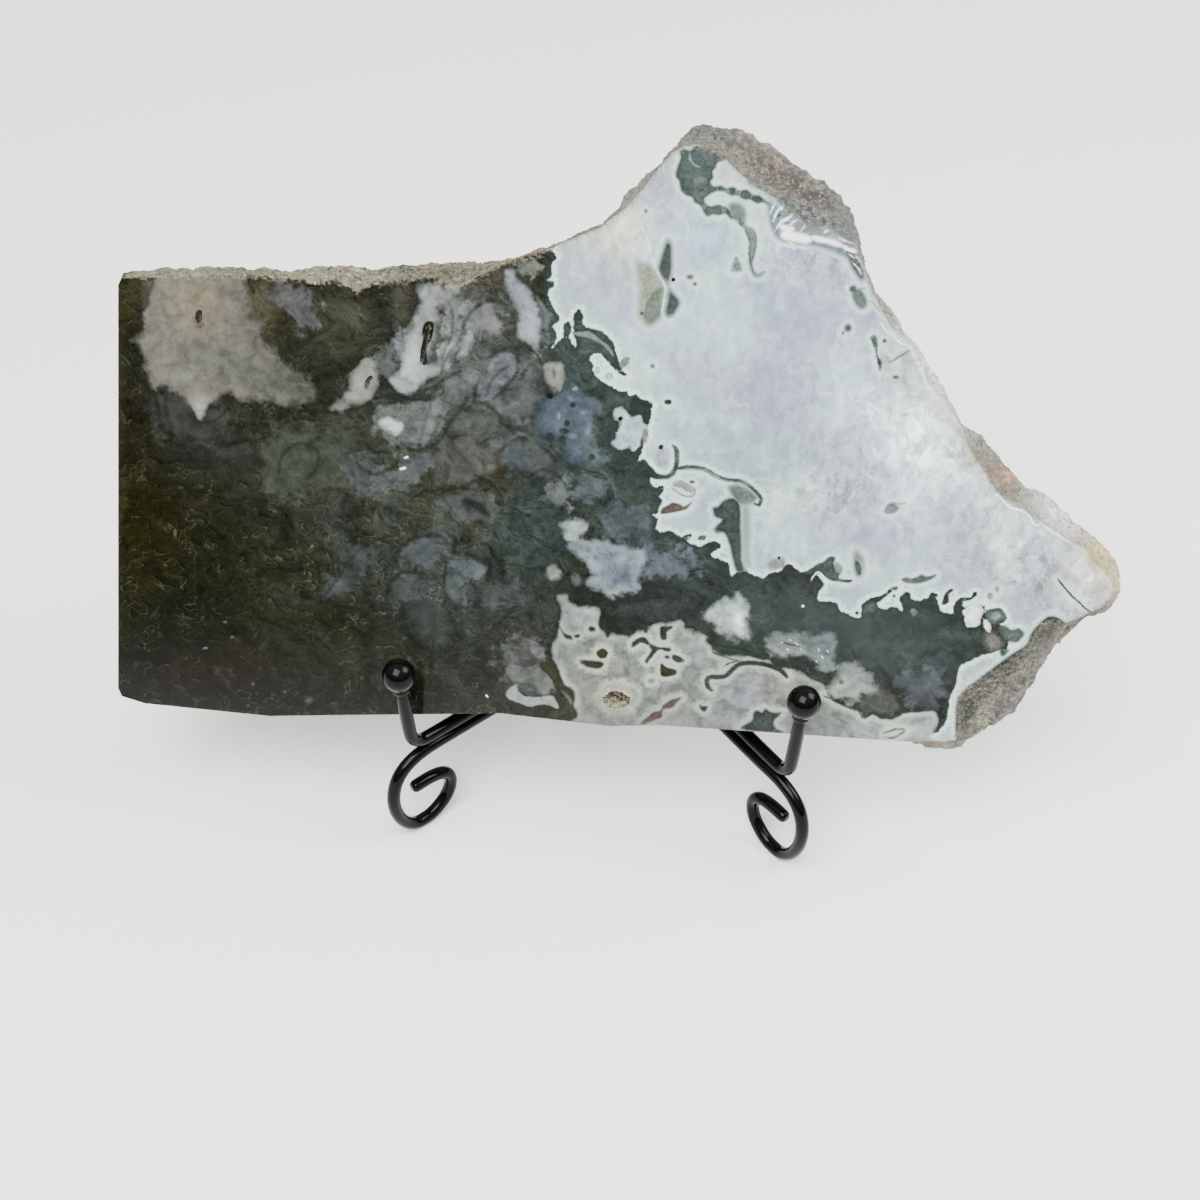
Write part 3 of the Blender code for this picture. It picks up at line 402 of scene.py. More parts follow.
# Lines: colour, softness in mm, width in picture points, places.
LINES = [
    ("#5B6762", 0.3, 4.6, [676,469, 688,467, 700,468, 708,471, 716,476, 728,480, 740,481, 749,486,
        757,493, 761,499, 759,505, 753,503]),
    ("#9DA8A4", 0.25, 1.4, [684,470, 697,470, 706,471, 713,475, 722,480, 736,483, 746,488]),
    ("#48534F", 0.35, 5.4, [672,445, 676,449, 677,457, 676,466, 672,474, 665,477, 656,475, 649,468,
        642,459]),
    ("#97A19E", 0.4, 6.0, [673,485, 681,485, 688,489, 693,492]),
    ("#66726D", 0.3, 1.7, [672,483, 680,481, 688,485, 695,490, 693,496, 685,496, 677,492, 671,487]),
    ("#8E9A98", 0.5, 1.6, [689,152, 690,159, 694,165, 701,168]),
    ("#5F6C68", 0.25, 1.8, [744,229, 749,241, 749,255, 753,272]),
    ("#5F6C68", 0.25, 1.6, [752,229, 756,237, 755,250, 752,261]),
    ("#C6CCC8", 0.4, 3.4, [731,163, 740,169, 748,177, 757,184, 768,191, 778,198]),
    (PINE, 0.2, 1.6, [540,442, 550,447, 558,455, 565,462, 577,467, 588,471, 598,473, 607,477]),
    (PINE, 0.2, 1.4, [538,446, 549,451, 556,459, 564,466, 576,471, 590,474]),
    (PINE, 0.3, 5.2, [713,691, 708,687, 707,680, 710,677, 717,677, 725,676, 732,670, 740,664, 753,663,
        767,665, 780,670, 788,678]),
    (PINE, 0.2, 1.8, [723,667, 730,663, 740,661]),
    (OLIVE, 0.35, 10.0, [540,664, 548,668, 556,678, 561,688, 568,693, 569,702, 566,712, 550,715]),
    (PINE, 0.2, 1.6, [838,578, 845,580, 852,580]),
    (PINE, 0.2, 1.8, [822,695, 833,700, 847,707, 858,710, 862,717, 867,717, 873,713, 880,717, 893,718,
        900,713, 908,712, 920,711, 932,710]),
    (LEAF, 0.3, 2.0, [883,733, 890,731, 898,729, 905,730, 899,735, 892,738, 884,737]),
    (PINE, 0.25, 2.2, [1057,578, 1065,588, 1072,596, 1080,603, 1085,608, 1095,615]),
    (SAGE, 0.4, 2.0, [887,357, 890,362, 897,358, 904,354, 911,349]),
    ("#414745", 0.4, 3.2, [640,601, 642,592, 646,586]),
    ("#414745", 0.4, 3.0, [650,600, 652,588, 655,583]),
    ("#414745", 0.4, 3.0, [664,592, 667,584, 672,581]),
    ("#414745", 0.4, 3.0, [622,606, 618,598, 612,594]),
    ("#3B453F", 0.4, 2.0, [705,640, 722,646, 745,650, 765,660]),
    ("#3B453F", 0.4, 1.8, [712,652, 735,660, 760,664, 785,674]),
    ("#55615E", 0.4, 1.8, [740,640, 762,646, 778,656, 800,664]),
    ("#7F8B8F", 0.3, 2.0, [853,288, 860,289, 866,288]),
    ("#86826F", 0.3, 1.5, [868,300, 873,303, 880,310, 886,315, 893,325, 897,332, 905,336, 911,341,
        915,348, 919,358, 922,370]),
    ("#B0AFA0", 0.3, 1.8, [452,287, 465,283, 478,275, 490,268, 500,263]),
    ("#6B6F60", 0.3, 3.0, [562,692, 568,698, 572,705]),
    (PINE, 0.25, 1.6, [780,641, 785,643, 792,645, 798,646, 801,650]),
    (PINE, 0.25, 2.0, [1049,640, 1058,640, 1066,636]),
    (JET, 0.25, 1.5, [530,350, 537,355, 541,362]),
    (PINE, 0.25, 1.4, [465,585, 470,583, 480,580, 485,575, 490,580, 488,586]),
    (SAGE, 0.3, 1.4, [892,502, 899,504, 906,503]),
    (PINE, 0.35, 1.8, [745,645, 752,648, 752,655]),
]

# Soft dark seams through the moss and round its pools: width in picture points, places.
SEAMS = [
    (4.0, [157,384, 156,398, 160,420]), (3.6, [167,390, 165,404, 168,416]),
    (5.0, [152,372, 150,390, 146,410]), (4.0, [356,460, 364,470, 376,474, 390,469, 400,462, 412,462]),
    (3.4, [335,404, 352,404, 372,399, 392,396, 412,390, 430,382, 446,378, 462,370]),
    (3.0, [300,410, 326,412, 350,410, 372,404, 396,402]),
    (4.0, [438,372, 448,356, 458,342, 464,324, 476,308, 494,300, 508,306]),
    (3.0, [447,298, 452,312, 452,334, 444,352, 440,368]),
    (3.4, [474,404, 476,388, 484,372, 494,354, 508,349, 518,360, 514,378, 500,392]),
    (2.6, [486,396, 491,382, 500,371, 509,366]), (2.6, [492,400, 502,392, 512,388]),
    (3.2, [400,442, 412,450, 428,448, 442,438, 450,422, 462,408, 468,396]),
    (3.2, [372,412, 380,402, 400,398, 420,400, 436,396]),
    (3.6, [396,562, 402,546, 418,537, 440,536, 450,546]),
    (3.6, [448,552, 462,553, 478,559, 490,566, 487,580]),
    (3.4, [447,560, 444,580, 446,594, 458,606, 470,608]), (3.0, [398,636, 408,650, 418,664, 424,676]),
    (2.6, [516,606, 500,622, 480,640, 464,650]), (3.6, [318,602, 334,584, 350,560, 366,545, 388,536]),
    (3.6, [386,604, 388,588, 394,578, 406,572, 424,574]),
    (3.0, [402,600, 404,622, 416,642, 432,652, 448,648]),
    (3.0, [279,474, 280,460, 290,447, 304,444, 318,452, 316,468, 306,480]),
    (3.0, [466,486, 476,480, 490,484, 500,494, 504,508]), (3.0, [436,498, 446,490, 460,488, 474,490]),
    (3.0, [520,380, 528,366, 540,364, 548,376, 546,396, 538,410]),
    (3.0, [524,300, 532,316, 534,338, 528,352]), (3.4, [500,452, 512,440, 528,438, 544,448, 556,462]),
    (3.0, [464,412, 478,402, 494,410, 504,424]), (3.0, [345,455, 356,450, 372,450, 380,456]),
    (2.6, [410,500, 424,492, 440,496, 452,510]), (3.0, [528,480, 540,470, 556,474, 566,486]),
    (3.0, [556,402, 552,418, 540,430, 530,436]), (3.0, [186,412, 200,422, 216,420, 228,408]),
    (3.0, [266,340, 276,352, 292,352, 306,344, 316,332]),
]

# Pale soft lines beside the pools: width in picture points, places.
PALE_SEAMS = [
    (3.4, [446,300, 456,312, 459,330, 455,350, 446,366]), (3.0, [470,320, 479,309, 494,306, 503,316]),
    (3.0, [478,394, 482,376, 492,360, 507,355, 513,366]), (3.0, [420,388, 436,381, 448,370]),
    (3.4, [352,397, 366,386, 374,374, 371,362]), (3.0, [536,296, 545,312, 547,334]),
    (2.6, [378,414, 392,406, 410,406, 428,404]), (2.6, [404,434, 420,442, 436,434, 444,420]),
    (3.0, [520,372, 532,362, 544,370]), (2.6, [506,444, 520,434, 536,442]),
    (2.6, [520,282, 530,296, 536,312]), (2.4, [500,642, 512,656, 508,674]),
    (2.6, [545,655, 540,668, 530,676, 516,680]), (2.4, [600,470, 612,482, 616,498]),
]

# White glints: softness in mm, width, places. Some are the stone's own white chips along the edges
# and its cracks, and some are painted highlights: the sheen on the crystal faces at the top right
# and small specks on the polish.
CHIPS_AND_GLINTS = [
    (0.15, 1.5, [557,334, 561,338, 561,330, 563,323]),
    (0.15, 0.8, [660,277, 665,286, 664,300, 662,313, 666,319]),
    (0.15, 0.8, [642,227, 649,243, 651,257, 657,270, 660,277]),
    (0.15, 1.2, [811,581, 813,577, 818,572, 824,577, 827,582]),
    (0.2, 1.6, [880,322, 886,330, 892,335, 898,341, 903,344, 909,345, 914,348]),
    (0.15, 2.2, [994,493, 1001,498, 1006,504, 1012,508, 1020,510, 1027,514, 1032,521, 1035,525, 1041,524,
        1045,526, 1053,532, 1060,536, 1066,540, 1071,543]),
    (0.15, 2.0, [1074,544, 1077,545, 1083,547, 1086,551]),
    # From the second entry on this line to the first on line 504: painted sheen, light on the crystal faces
    # at the top right.
    (0.3, 2.2, [940,606, 945,607, 949,604, 954,604]), (0.5, 9.0, [781,234, 790,236, 800,238, 811,240]),
    (0.45, 6.0, [780,226, 787,229, 794,229]), (0.5, 5.0, [812,237, 822,240, 832,242, 842,246]),
    (0.4, 3.6, [842,246, 850,250, 859,252]), (0.25, 2.6, [824,233, 830,229, 836,231, 841,236]),
    (0.25, 2.0, [838,238, 846,241, 854,243, 860,246]), (0.2, 1.8, [773,222, 776,214, 780,206]),
    (0.15, 1.3, [770,214, 773,207, 776,202]), (0.2, 3.0, [781,210, 783,206, 786,204]),
    (0.15, 1.2, [777,228, 785,221, 793,216]), (0.15, 1.2, [781,222, 788,217, 796,212]),
    (0.2, 1.5, [788,226, 795,221, 799,219]), (0.15, 1.1, [774,232, 779,224, 783,218]),
    (0.2, 1.4, [800,232, 804,227, 806,223]), (0.15, 1.1, [776,244, 784,245, 796,249]),
    (0.15, 1.0, [786,241, 796,246, 806,248]), (0.15, 1.2, [848,254, 856,258, 862,256]),
    (0.15, 1.1, [852,262, 858,268, 862,274]), (0.15, 1.0, [856,256, 862,264, 866,270]),
    (0.15, 1.2, [810,228, 813,224, 818,227]), (0.15, 1.0, [742,148, 748,151, 754,156]),
    (0.2, 2.2, [787,183, 791,185]), (0.2, 1.5, [794,173, 796,175]),
    (0.3, 2.0, [696,137, 704,137, 713,140, 721,145, 727,149]), (0.15, 1.6, [781,643, 783,642]),
    (0.15, 1.4, [789,640, 791,640]), (0.15, 1.8, [796,643, 798,645]), (0.15, 1.3, [800,648, 802,650]),
    (0.15, 1.2, [787,649, 789,650]), (0.15, 1.2, [818,648, 819,651]), (0.15, 1.3, [822,656, 823,659]),
    # The last entry on this line and the first on the next: painted highlight specks on the polish.
    (0.15, 1.1, [816,661, 818,663]), (0.15, 1.2, [827,650, 828,652]), (0.2, 3.4, [400,469, 406,468]),
    (0.2, 3.0, [404,458, 408,457]), (0.2, 1.8, [486,695, 488,697]),
]

# Soft clouds of colour, each painted over those before it: colour, middle, half width, half height,
# turn in degrees, strength. First those of the milky quartz.
QUARTZ_CLOUDS = [
    ("#BCC5CB", 830, 420, 330, 260, 0, 1.0), ("#D2D5CD", 610, 225, 60, 50, 40, 0.9),
    ("#C6CBC4", 700, 150, 60, 40, 30, 0.7), ("#B4B8C3", 800, 350, 80, 60, 20, 0.7),
    ("#B2BEBF", 760, 470, 110, 60, 0, 0.85), ("#DCE1E0", 930, 440, 80, 60, 40, 0.9),
    ("#B2B6BA", 1000, 560, 60, 60, 30, 0.85), ("#DADAD5", 1088, 582, 40, 36, 0, 0.9),
    ("#AEB0B8", 750, 400, 60, 34, 0, 0.5), ("#CDD6D4", 620, 400, 40, 60, 0, 0.8),
    ("#CDD5D6", 860, 380, 50, 60, 0, 0.5), ("#CBD4D8", 960, 610, 60, 30, 0, 0.7),
    ("#B9B4BB", 835, 500, 60, 26, -12, 0.6), ("#C9D2D3", 690, 330, 60, 60, 0, 0.6),
    ("#B9BFCA", 700, 260, 50, 40, 0, 0.5), ("#D8DEDD", 1020, 540, 30, 30, 0, 0.5),
    ("#CBC3BC", 943, 400, 16, 44, -35, 0.9), ("#C8BFB4", 982, 462, 16, 44, -40, 0.9),
    ("#C2A796", 1006, 480, 12, 14, 0, 0.7), ("#C9BDA5", 1103, 560, 18, 14, 0, 0.9),
    ("#B9BDBB", 1098, 595, 18, 18, 0, 0.8), ("#B6B9B8", 1040, 590, 24, 34, 0, 0.7),
    # The two clouds on this line and the first on the next: blue-grey round the painted sheen at the top
    # right, painted shade between its lit crystal faces.
    ("#86959F", 808, 224, 46, 13, 20, 1.0), ("#8D9CA6", 776, 212, 14, 15, 0, 0.95),
    ("#93A1AA", 848, 248, 18, 11, 20, 0.9), ("#AEBBC4", 760, 260, 50, 30, 0, 0.5),
    ("#C4CFD6", 700, 240, 40, 20, 0, 0.5), ("#B4BEC6", 715, 206, 14, 10, 0, 0.8),
    ("#BFC6BE", 650, 160, 20, 30, 0, 0.6),
]

# Those of the dark moss, and those of the fine threads in it.
MOSS_CLOUDS = [
    ("#323319", 140, 520, 90, 300, 0, 1.0), ("#2C2D17", 240, 600, 120, 100, 0, 1.0),
    ("#2F3024", 300, 520, 90, 60, 0, 0.8), ("#37392F", 330, 620, 90, 60, 0, 0.7),
    ("#3F412C", 260, 330, 50, 50, 0, 0.8), ("#56523F", 262, 300, 28, 28, 0, 0.7),
    ("#3B3D33", 330, 350, 40, 40, 0, 0.6), ("#35372B", 300, 410, 70, 25, 0, 0.5),
    ("#393B3C", 215, 455, 60, 36, 10, 0.8), ("#484D40", 320, 460, 60, 36, 0, 0.8),
    ("#4A4D3F", 420, 505, 90, 34, -8, 0.9), ("#564D3F", 490, 470, 20, 30, -20, 0.6),
    ("#4F4A3D", 470, 535, 40, 22, 0, 0.6), ("#3A4843", 530, 530, 38, 60, 0, 0.9),
    ("#3C463E", 560, 600, 30, 40, 0, 0.5), ("#5E635C", 470, 420, 50, 40, 0, 0.6),
    ("#5A5748", 480, 285, 60, 24, 0, 0.8), ("#6C6E68", 470, 345, 50, 50, 10, 0.7),
    ("#4E5650", 520, 390, 40, 50, 0, 0.6), ("#454C48", 560, 320, 20, 60, 0, 0.6),
    ("#3F4A48", 600, 370, 50, 40, 30, 0.7), ("#465350", 620, 480, 50, 60, 0, 0.9),
    ("#3A4543", 580, 450, 30, 20, 0, 0.5), ("#4D5A5C", 660, 550, 40, 30, 0, 0.7),
    ("#3C3F3C", 650, 606, 60, 16, 0, 0.9), ("#505B59", 800, 620, 130, 50, 0, 1.0),
    ("#505B5A", 910, 640, 90, 50, 0, 1.0), ("#4F5B5C", 760, 590, 30, 24, 0, 0.6),
    ("#1E150C", 140, 668, 50, 40, 0, 0.8), ("#1E190D", 300, 698, 150, 18, 0, 0.9),
    ("#40443C", 480, 650, 60, 50, 0, 0.8), ("#4D504A", 540, 620, 30, 26, 0, 0.5),
    ("#56605C", 700, 560, 20, 20, 0, 0.5), ("#505E60", 735, 545, 14, 30, 0, 0.5),
    ("#565B51", 420, 430, 100, 44, 0, 0.7), ("#50564B", 330, 452, 50, 30, 0, 0.6),
    ("#626863", 470, 330, 46, 46, 0, 0.7), ("#58605B", 510, 400, 50, 40, 0, 0.7),
    ("#4B524C", 430, 580, 80, 50, 0, 0.7), ("#4A5855", 592, 350, 36, 40, 0, 0.9),
    ("#46544F", 640, 440, 26, 44, 0, 0.8), ("#4B5855", 645, 520, 40, 40, 0, 0.8),
    ("#4A5753", 562, 290, 16, 50, 0, 0.8), ("#48554F", 700, 570, 40, 24, 0, 0.7),
    ("#56635F", 596, 350, 34, 44, 0, 0.9), ("#55625D", 566, 300, 16, 46, 0, 0.8),
    ("#4C5A57", 528, 528, 40, 50, 0, 0.8), ("#43463A", 350, 520, 110, 60, 0, 0.7),
    ("#3B3D2C", 300, 600, 90, 60, 0, 0.7), ("#4B5149", 440, 600, 70, 70, 0, 0.6),
    ("#393A28", 230, 470, 50, 50, 0, 0.5), ("#5A5644", 262, 300, 26, 30, 0, 0.7),
    ("#4A4C38", 340, 310, 36, 40, 0, 0.7), ("#5E5A50", 400, 300, 12, 30, 0, 0.5),
    ("#474A40", 370, 440, 30, 30, 0, 0.5), ("#4A4434", 505, 480, 10, 26, -20, 0.6),
    ("#6B6355", 150, 292, 16, 24, 0, 0.8), ("#33322A", 130, 360, 16, 90, 0, 0.9),
    ("#453F2A", 121, 420, 4, 200, 0, 0.7), ("#44503F", 735, 648, 50, 26, 10, 0.7),
    ("#434E4B", 690, 600, 40, 30, 0, 0.6), ("#3F4A47", 600, 440, 40, 60, 0, 0.8),
    ("#455250", 690, 560, 50, 24, 0, 0.6), ("#3D4844", 560, 470, 30, 40, 0, 0.6),
    ("#2B2604", 200, 672, 120, 38, 0, 0.85), ("#2D2A0A", 380, 682, 100, 34, 0, 0.8),
    ("#2F3014", 345, 628, 70, 32, 0, 0.75), ("#25270A", 190, 615, 56, 32, 0, 0.85),
    ("#2F332C", 470, 662, 50, 28, 0, 0.7), ("#46514B", 520, 600, 24, 24, 0, 0.7),
    ("#454529", 130, 298, 13, 28, 0, 0.8), ("#5A5C4A", 350, 318, 26, 20, 0, 0.7),
    ("#4B4E3F", 330, 350, 30, 24, 0, 0.6),
]
THREAD_CLOUDS = [
    ("#55573F", 170, 560, 110, 200, 0, 0.9), ("#74705A", 440, 510, 90, 50, 0, 0.8),
    ("#686B57", 340, 560, 80, 90, 0, 0.8), ("#4C6054", 540, 530, 50, 80, 0, 0.9),
    ("#7B827A", 480, 330, 60, 60, 0, 0.8), ("#6C7A78", 850, 640, 150, 60, 0, 0.8),
    ("#75807C", 420, 590, 80, 60, 0, 0.8), ("#43422A", 230, 655, 190, 60, 0, 0.85),
]

# Those of the clear windows in the moss.
CLEAR_CLOUDS = [
    ("#928D80", 610, 700, 60, 26, 0, 0.8), ("#858C85", 580, 640, 26, 24, 0, 0.7),
    ("#B0B6B4", 585, 615, 20, 14, 0, 0.7), ("#A2A8AD", 745, 695, 26, 26, 0, 0.8),
    ("#A5A39A", 780, 690, 26, 20, 0, 0.8), ("#B4BAB7", 900, 730, 60, 12, 0, 0.9),
    ("#8F9692", 655, 690, 40, 24, 0, 0.7), ("#A9AFAC", 690, 650, 24, 16, 0, 0.6),
    ("#948C78", 196, 306, 34, 34, 0, 0.95), ("#7C7D74", 200, 352, 44, 20, 0, 0.7),
    ("#6E7068", 236, 366, 36, 24, 30, 0.8), ("#696B63", 282, 386, 38, 20, 30, 0.95),
    ("#64665D", 306, 394, 22, 14, 30, 0.8), ("#8C8F88", 176, 378, 22, 10, 0, 0.6),
    ("#B5B8B2", 200, 408, 9, 10, 0, 0.9), ("#6A6C60", 246, 320, 10, 46, -14, 0.6),
    ("#8F897A", 158, 345, 14, 36, 0, 0.5), ("#BFC4C1", 413, 362, 16, 30, 0, 0.6),
    ("#A39B96", 442, 330, 10, 40, 0, 0.6), ("#9C9FA6", 512, 286, 10, 16, 0, 0.8),
    ("#B6BEC0", 530, 325, 9, 20, 0, 0.6), ("#7A8694", 560, 415, 20, 20, 0, 0.4),
    ("#A5AEB4", 630, 562, 14, 10, 0, 0.7), ("#98A4AB", 592, 556, 14, 14, 0, 0.6),
    ("#6D7882", 622, 574, 16, 12, 0, 0.8), ("#DCE2E0", 740, 622, 8, 10, 0, 0.7),
    ("#6F7A78", 800, 645, 30, 6, 0, 0.4),
]

# Those of the rough rind, its crust, facets and pits, and painted shade deep in the hollows.
RIND_CLOUDS = [
    ("#B6B4A1", 350, 270, 400, 30, 0, 1.0), ("#93947D", 440, 272, 70, 14, 0, 0.8),
    ("#C9C5B3", 330, 272, 30, 10, 0, 0.7), ("#8F9179", 240, 270, 34, 7, 0, 0.5),
    ("#B7B5AA", 635, 195, 60, 40, 40, 0.8), ("#82887F", 702, 131, 36, 12, 0, 0.95),
    ("#D2D2CC", 790, 148, 66, 8, 30, 0.95), ("#C6C5BF", 848, 188, 26, 10, 55, 0.9),
    ("#646A5F", 728, 142, 27, 9, 24, 1.0), ("#5F6058", 756, 158, 17, 8, 27, 0.9),
    ("#836454", 792, 184, 58, 14, 28, 1.0), ("#94695A", 776, 178, 20, 9, 27, 0.8),
    ("#6A5E42", 812, 196, 14, 7, 27, 0.5), ("#76838A", 806, 213, 60, 8, 26, 1.0),
    ("#87928F", 846, 228, 16, 14, 30, 0.9), ("#747670", 828, 193, 13, 8, 32, 0.8),
    ("#AAB2AF", 858, 262, 14, 20, 0, 0.8), ("#F7F5EE", 930, 370, 70, 120, 40, 1.0),
    ("#D2B8A3", 1008, 475, 14, 9, 40, 0.8), ("#F4F0E4", 1060, 515, 44, 22, 40, 0.95),
    ("#E4D9C4", 1106, 548, 26, 20, 0, 0.9), ("#DAD7CA", 1112, 580, 20, 22, 0, 0.9),
    ("#A0968A", 1005, 690, 70, 60, -40, 1.0), ("#A3A68F", 1020, 672, 40, 12, -38, 0.6),
    ("#3F5248", 1003, 664, 50, 9, -37, 1.0), ("#3A4D43", 967, 712, 12, 27, 8, 1.0),
    ("#4A5A4E", 1048, 632, 18, 9, -40, 0.95), ("#CFCEBC", 985, 720, 9, 12, 20, 0.9),
    ("#77675D", 1008, 710, 15, 9, -24, 0.9), ("#45452F", 110, 480, 20, 230, 0, 0.9),
    ("#B3AC9E", 920, 750, 60, 14, 0, 0.9), ("#A2A49E", 426, 344, 14, 30, 0, 1.0),
    # The first cloud on this line and on each of the next two: painted shade deep in the slit and in the two
    # small hollows.
    ("#2C2823", 424, 345, 3.4, 22, 5, 1.0), ("#93897A", 198, 320, 11, 13, 0, 1.0),
    ("#5D5244", 198, 322, 5, 8, 0, 1.0), ("#A4A59D", 362, 389, 9, 9, 0, 1.0),
    ("#4A463C", 362, 390, 4, 4.5, 0, 1.0), ("#8F8779", 617, 697, 18, 13, 0, 1.0),
]

# The colours painted all over the stone: the ground, and the clouds over it.
TINTS = {
    "quartz_tint": ("#BAC1C4", QUARTZ_CLOUDS),
    "moss_tint": (MOSS, MOSS_CLOUDS),
    "thread_tint": ("#55584A", THREAD_CLOUDS),
    "rind_tint": ("#A39C8E", RIND_CLOUDS),
}

# Where something shows more: middle, half width, half height, turn in degrees, strength. These are
# white margins in the clear quartz, crystal faces in the milky quartz, calm moss without threads,
# pools in the moss, and rind that is crumbly, with bright grains and pits painted dark with their shade.
COVERS = {
    "rims": [(640, 660, 110, 60, 0, 1.0), (780, 700, 110, 50, 0, 0.9), (910, 730, 80, 30, 0, 0.9),
        (600, 560, 60, 40, 0, 0.5), (625, 430, 30, 40, 0, 0.7), (980, 620, 40, 30, 0, 0.8)],
    "crystals": [(930, 440, 110, 90, 40, 0.9), (1040, 570, 80, 50, 30, 0.9), (835, 490, 70, 40, 0, 0.7),
        (800, 245, 70, 36, 20, 0.8), (640, 240, 60, 30, 0, 0.4)],
    "calm": [(850, 630, 160, 60, 0, 1.0), (640, 600, 80, 30, 0, 0.8), (640, 430, 40, 50, 0, 0.5),
        (220, 460, 60, 30, 0, 0.6)],
    "pools": [(430, 560, 130, 130, 0, 0.9), (470, 380, 110, 90, 0, 0.9), (850, 650, 150, 50, 0, 0.6),
        (640, 520, 70, 70, 0, 0.8), (210, 430, 90, 50, 0, 0.5)],
    "crumbs": [(790, 182, 62, 16, 27, 1.0), (806, 214, 56, 9, 26, 0.8), (1000, 690, 60, 60, -40, 1.0),
        (198, 320, 10, 10, 0, 0.6), (1008, 474, 16, 10, 40, 0.4), (370, 272, 150, 12, 0, 0.7)],
}

# Where a layer's edges are softer: middle, half width, half height, more softness in mm.
SOFTER = {
    "clear": [(290, 385, 40, 26, 2.6), (256, 335, 24, 60, 2.0), (150, 350, 12, 40, 0.4),
              (560, 440, 60, 60, 0.5), (680, 650, 60, 30, 0.5), (420, 320, 40, 60, 0.6)],
    "dark": [(746, 535, 5, 40, 1.0)],
}


def linear(colour):
    """A hex colour as the linear numbers a shader works in."""
    parts = [int(colour[i:i + 2], 16) / 255 for i in (1, 3, 5)]
    return [p / 12.92 if p <= 0.04045 else ((p + 0.055) / 1.055) ** 2.4 for p in parts]


def of_stone(colour):
    """The stone's own reflectance where it looks that colour in the studio's strong light."""
    parts = linear(colour)
    grey = sum(parts) / 3.0
    pull = DARK_PULL * max(0.0, 1.0 - 3.0 * grey)
    parts = [p + (grey - p) * pull for p in parts]
    # The view dims bright things, and the polish adds a little of the floor's light to dark ones.
    parts = [p * (1.01 - p) ** (-1.25 * p) / STUDIO_GAIN - 0.004 for p in parts]
    return [min(BRIGHTEST, max(DARKEST, p)) for p in parts]


def colour4(colour):
    """A hex colour for a colour socket."""
    return (*linear(colour), 1.0)


def face_matrix():
    """From the stone's own millimetres (right, up the face, out of it) to the scene's metres."""
    up = Vector((0.0, math.sin(FACE_LEAN), math.cos(FACE_LEAN)))
    out = Vector((0.0, -math.cos(FACE_LEAN), math.sin(FACE_LEAN)))
    turn = Matrix((Vector((1.0, 0.0, 0.0)), up, out)).transposed().to_4x4()
    return Matrix.Translation(FACE_ZERO) @ turn @ Matrix.Scale(0.001, 4)


def camera_matrix():
    """The camera's place and turn."""
    back = Vector((math.sin(CAMERA_TURN) * math.cos(CAMERA_RISE),
                   -math.cos(CAMERA_TURN) * math.cos(CAMERA_RISE), math.sin(CAMERA_RISE)))
    level = Vector((math.cos(CAMERA_TURN), math.sin(CAMERA_TURN), 0.0))
    turn = Matrix((level, back.cross(level), back)).transposed().to_4x4()
    return Matrix.Translation(CAMERA_PLACE) @ turn @ Matrix.Rotation(CAMERA_ROLL, 4, "Z")


def to_face(points):
    """Places in the camera's picture as millimetres on the polished face."""
    view = np.array(face_matrix().inverted() @ camera_matrix())
    focal = CAMERA_LENS / CAMERA_SENSOR * PICTURE
    points = np.asarray(points, float)
    ray = np.stack([(points[:, 0] - PICTURE / 2) / focal, (PICTURE / 2 - points[:, 1]) / focal,
                    -np.ones(len(points))], -1) @ view[:3, :3].T
    eye = view[:3, 3]
    reach = -eye[2] / ray[:, 2]
    return eye[:2] + ray[:, :2] * reach[:, None]


def to_picture(places):
    """The stone's own millimetres as places in the camera's picture."""
    view = np.array(camera_matrix().inverted() @ face_matrix())
    focal = CAMERA_LENS / CAMERA_SENSOR * PICTURE
    seen = np.asarray(places, float) @ view[:3, :3].T + view[:3, 3]
    return np.stack([PICTURE / 2 + focal * seen[:, 0] / -seen[:, 2],
                     PICTURE / 2 - focal * seen[:, 1] / -seen[:, 2]], -1)


def rise(values, start, end):
    """0 up to the start, 1 from the end on, and even between."""
    return np.clip((values - start) / (end - start), 0.0, 1.0)


def rounded(points, closed, step=2.6):
    """A smooth line through the points, with a point about every step."""
    points = np.asarray(points, float).reshape(-1, 2)
    count = len(points)
    result = []
    for i in range(count if closed else count - 1):
        four = [(i + k) % count if closed else i + k for k in (-1, 0, 1, 2)]
        before, here, after, later = points[np.clip(four, 0, count - 1)]
        parts = max(1, round(np.hypot(*(after - here)) / step))
        for part in range(parts):
            t = part / parts
            result.append(0.5 * (2 * here + (after - before) * t
                                 + (2 * before - 5 * here + 4 * after - later) * t * t
                                 + (3 * here - before - 3 * after + later) * t ** 3))
    if not closed:
        result.append(points[-1])
    return np.array(result)


def across_of(steps):
    """The unit vectors at right angles to some steps."""
    across = np.stack([-steps[:, 1], steps[:, 0]], -1)
    return across / (np.linalg.norm(across, axis=1)[:, None] + 1e-9)


def ribbon(points, width):
    """The outline of a line that narrows to 0.45 of its width over its last two steps."""
    middle = rounded(points, False)
    across = across_of(np.gradient(middle, axis=0))
    from_end = np.minimum(np.arange(len(middle)), np.arange(len(middle))[::-1])
    half = 0.5 * width * (0.45 + 0.55 * rise(from_end, 0.0, 2.0))[:, None]
    return np.concatenate([middle + across * half, (middle - across * half)[::-1]])


def egg(x, y, half_width, half_height):
    """The outline of a grain."""
    turns = np.linspace(0.0, 2.0 * math.pi, 12, endpoint=False)
    return np.stack([x + half_width * np.cos(turns), y + half_height * np.sin(turns)], -1)


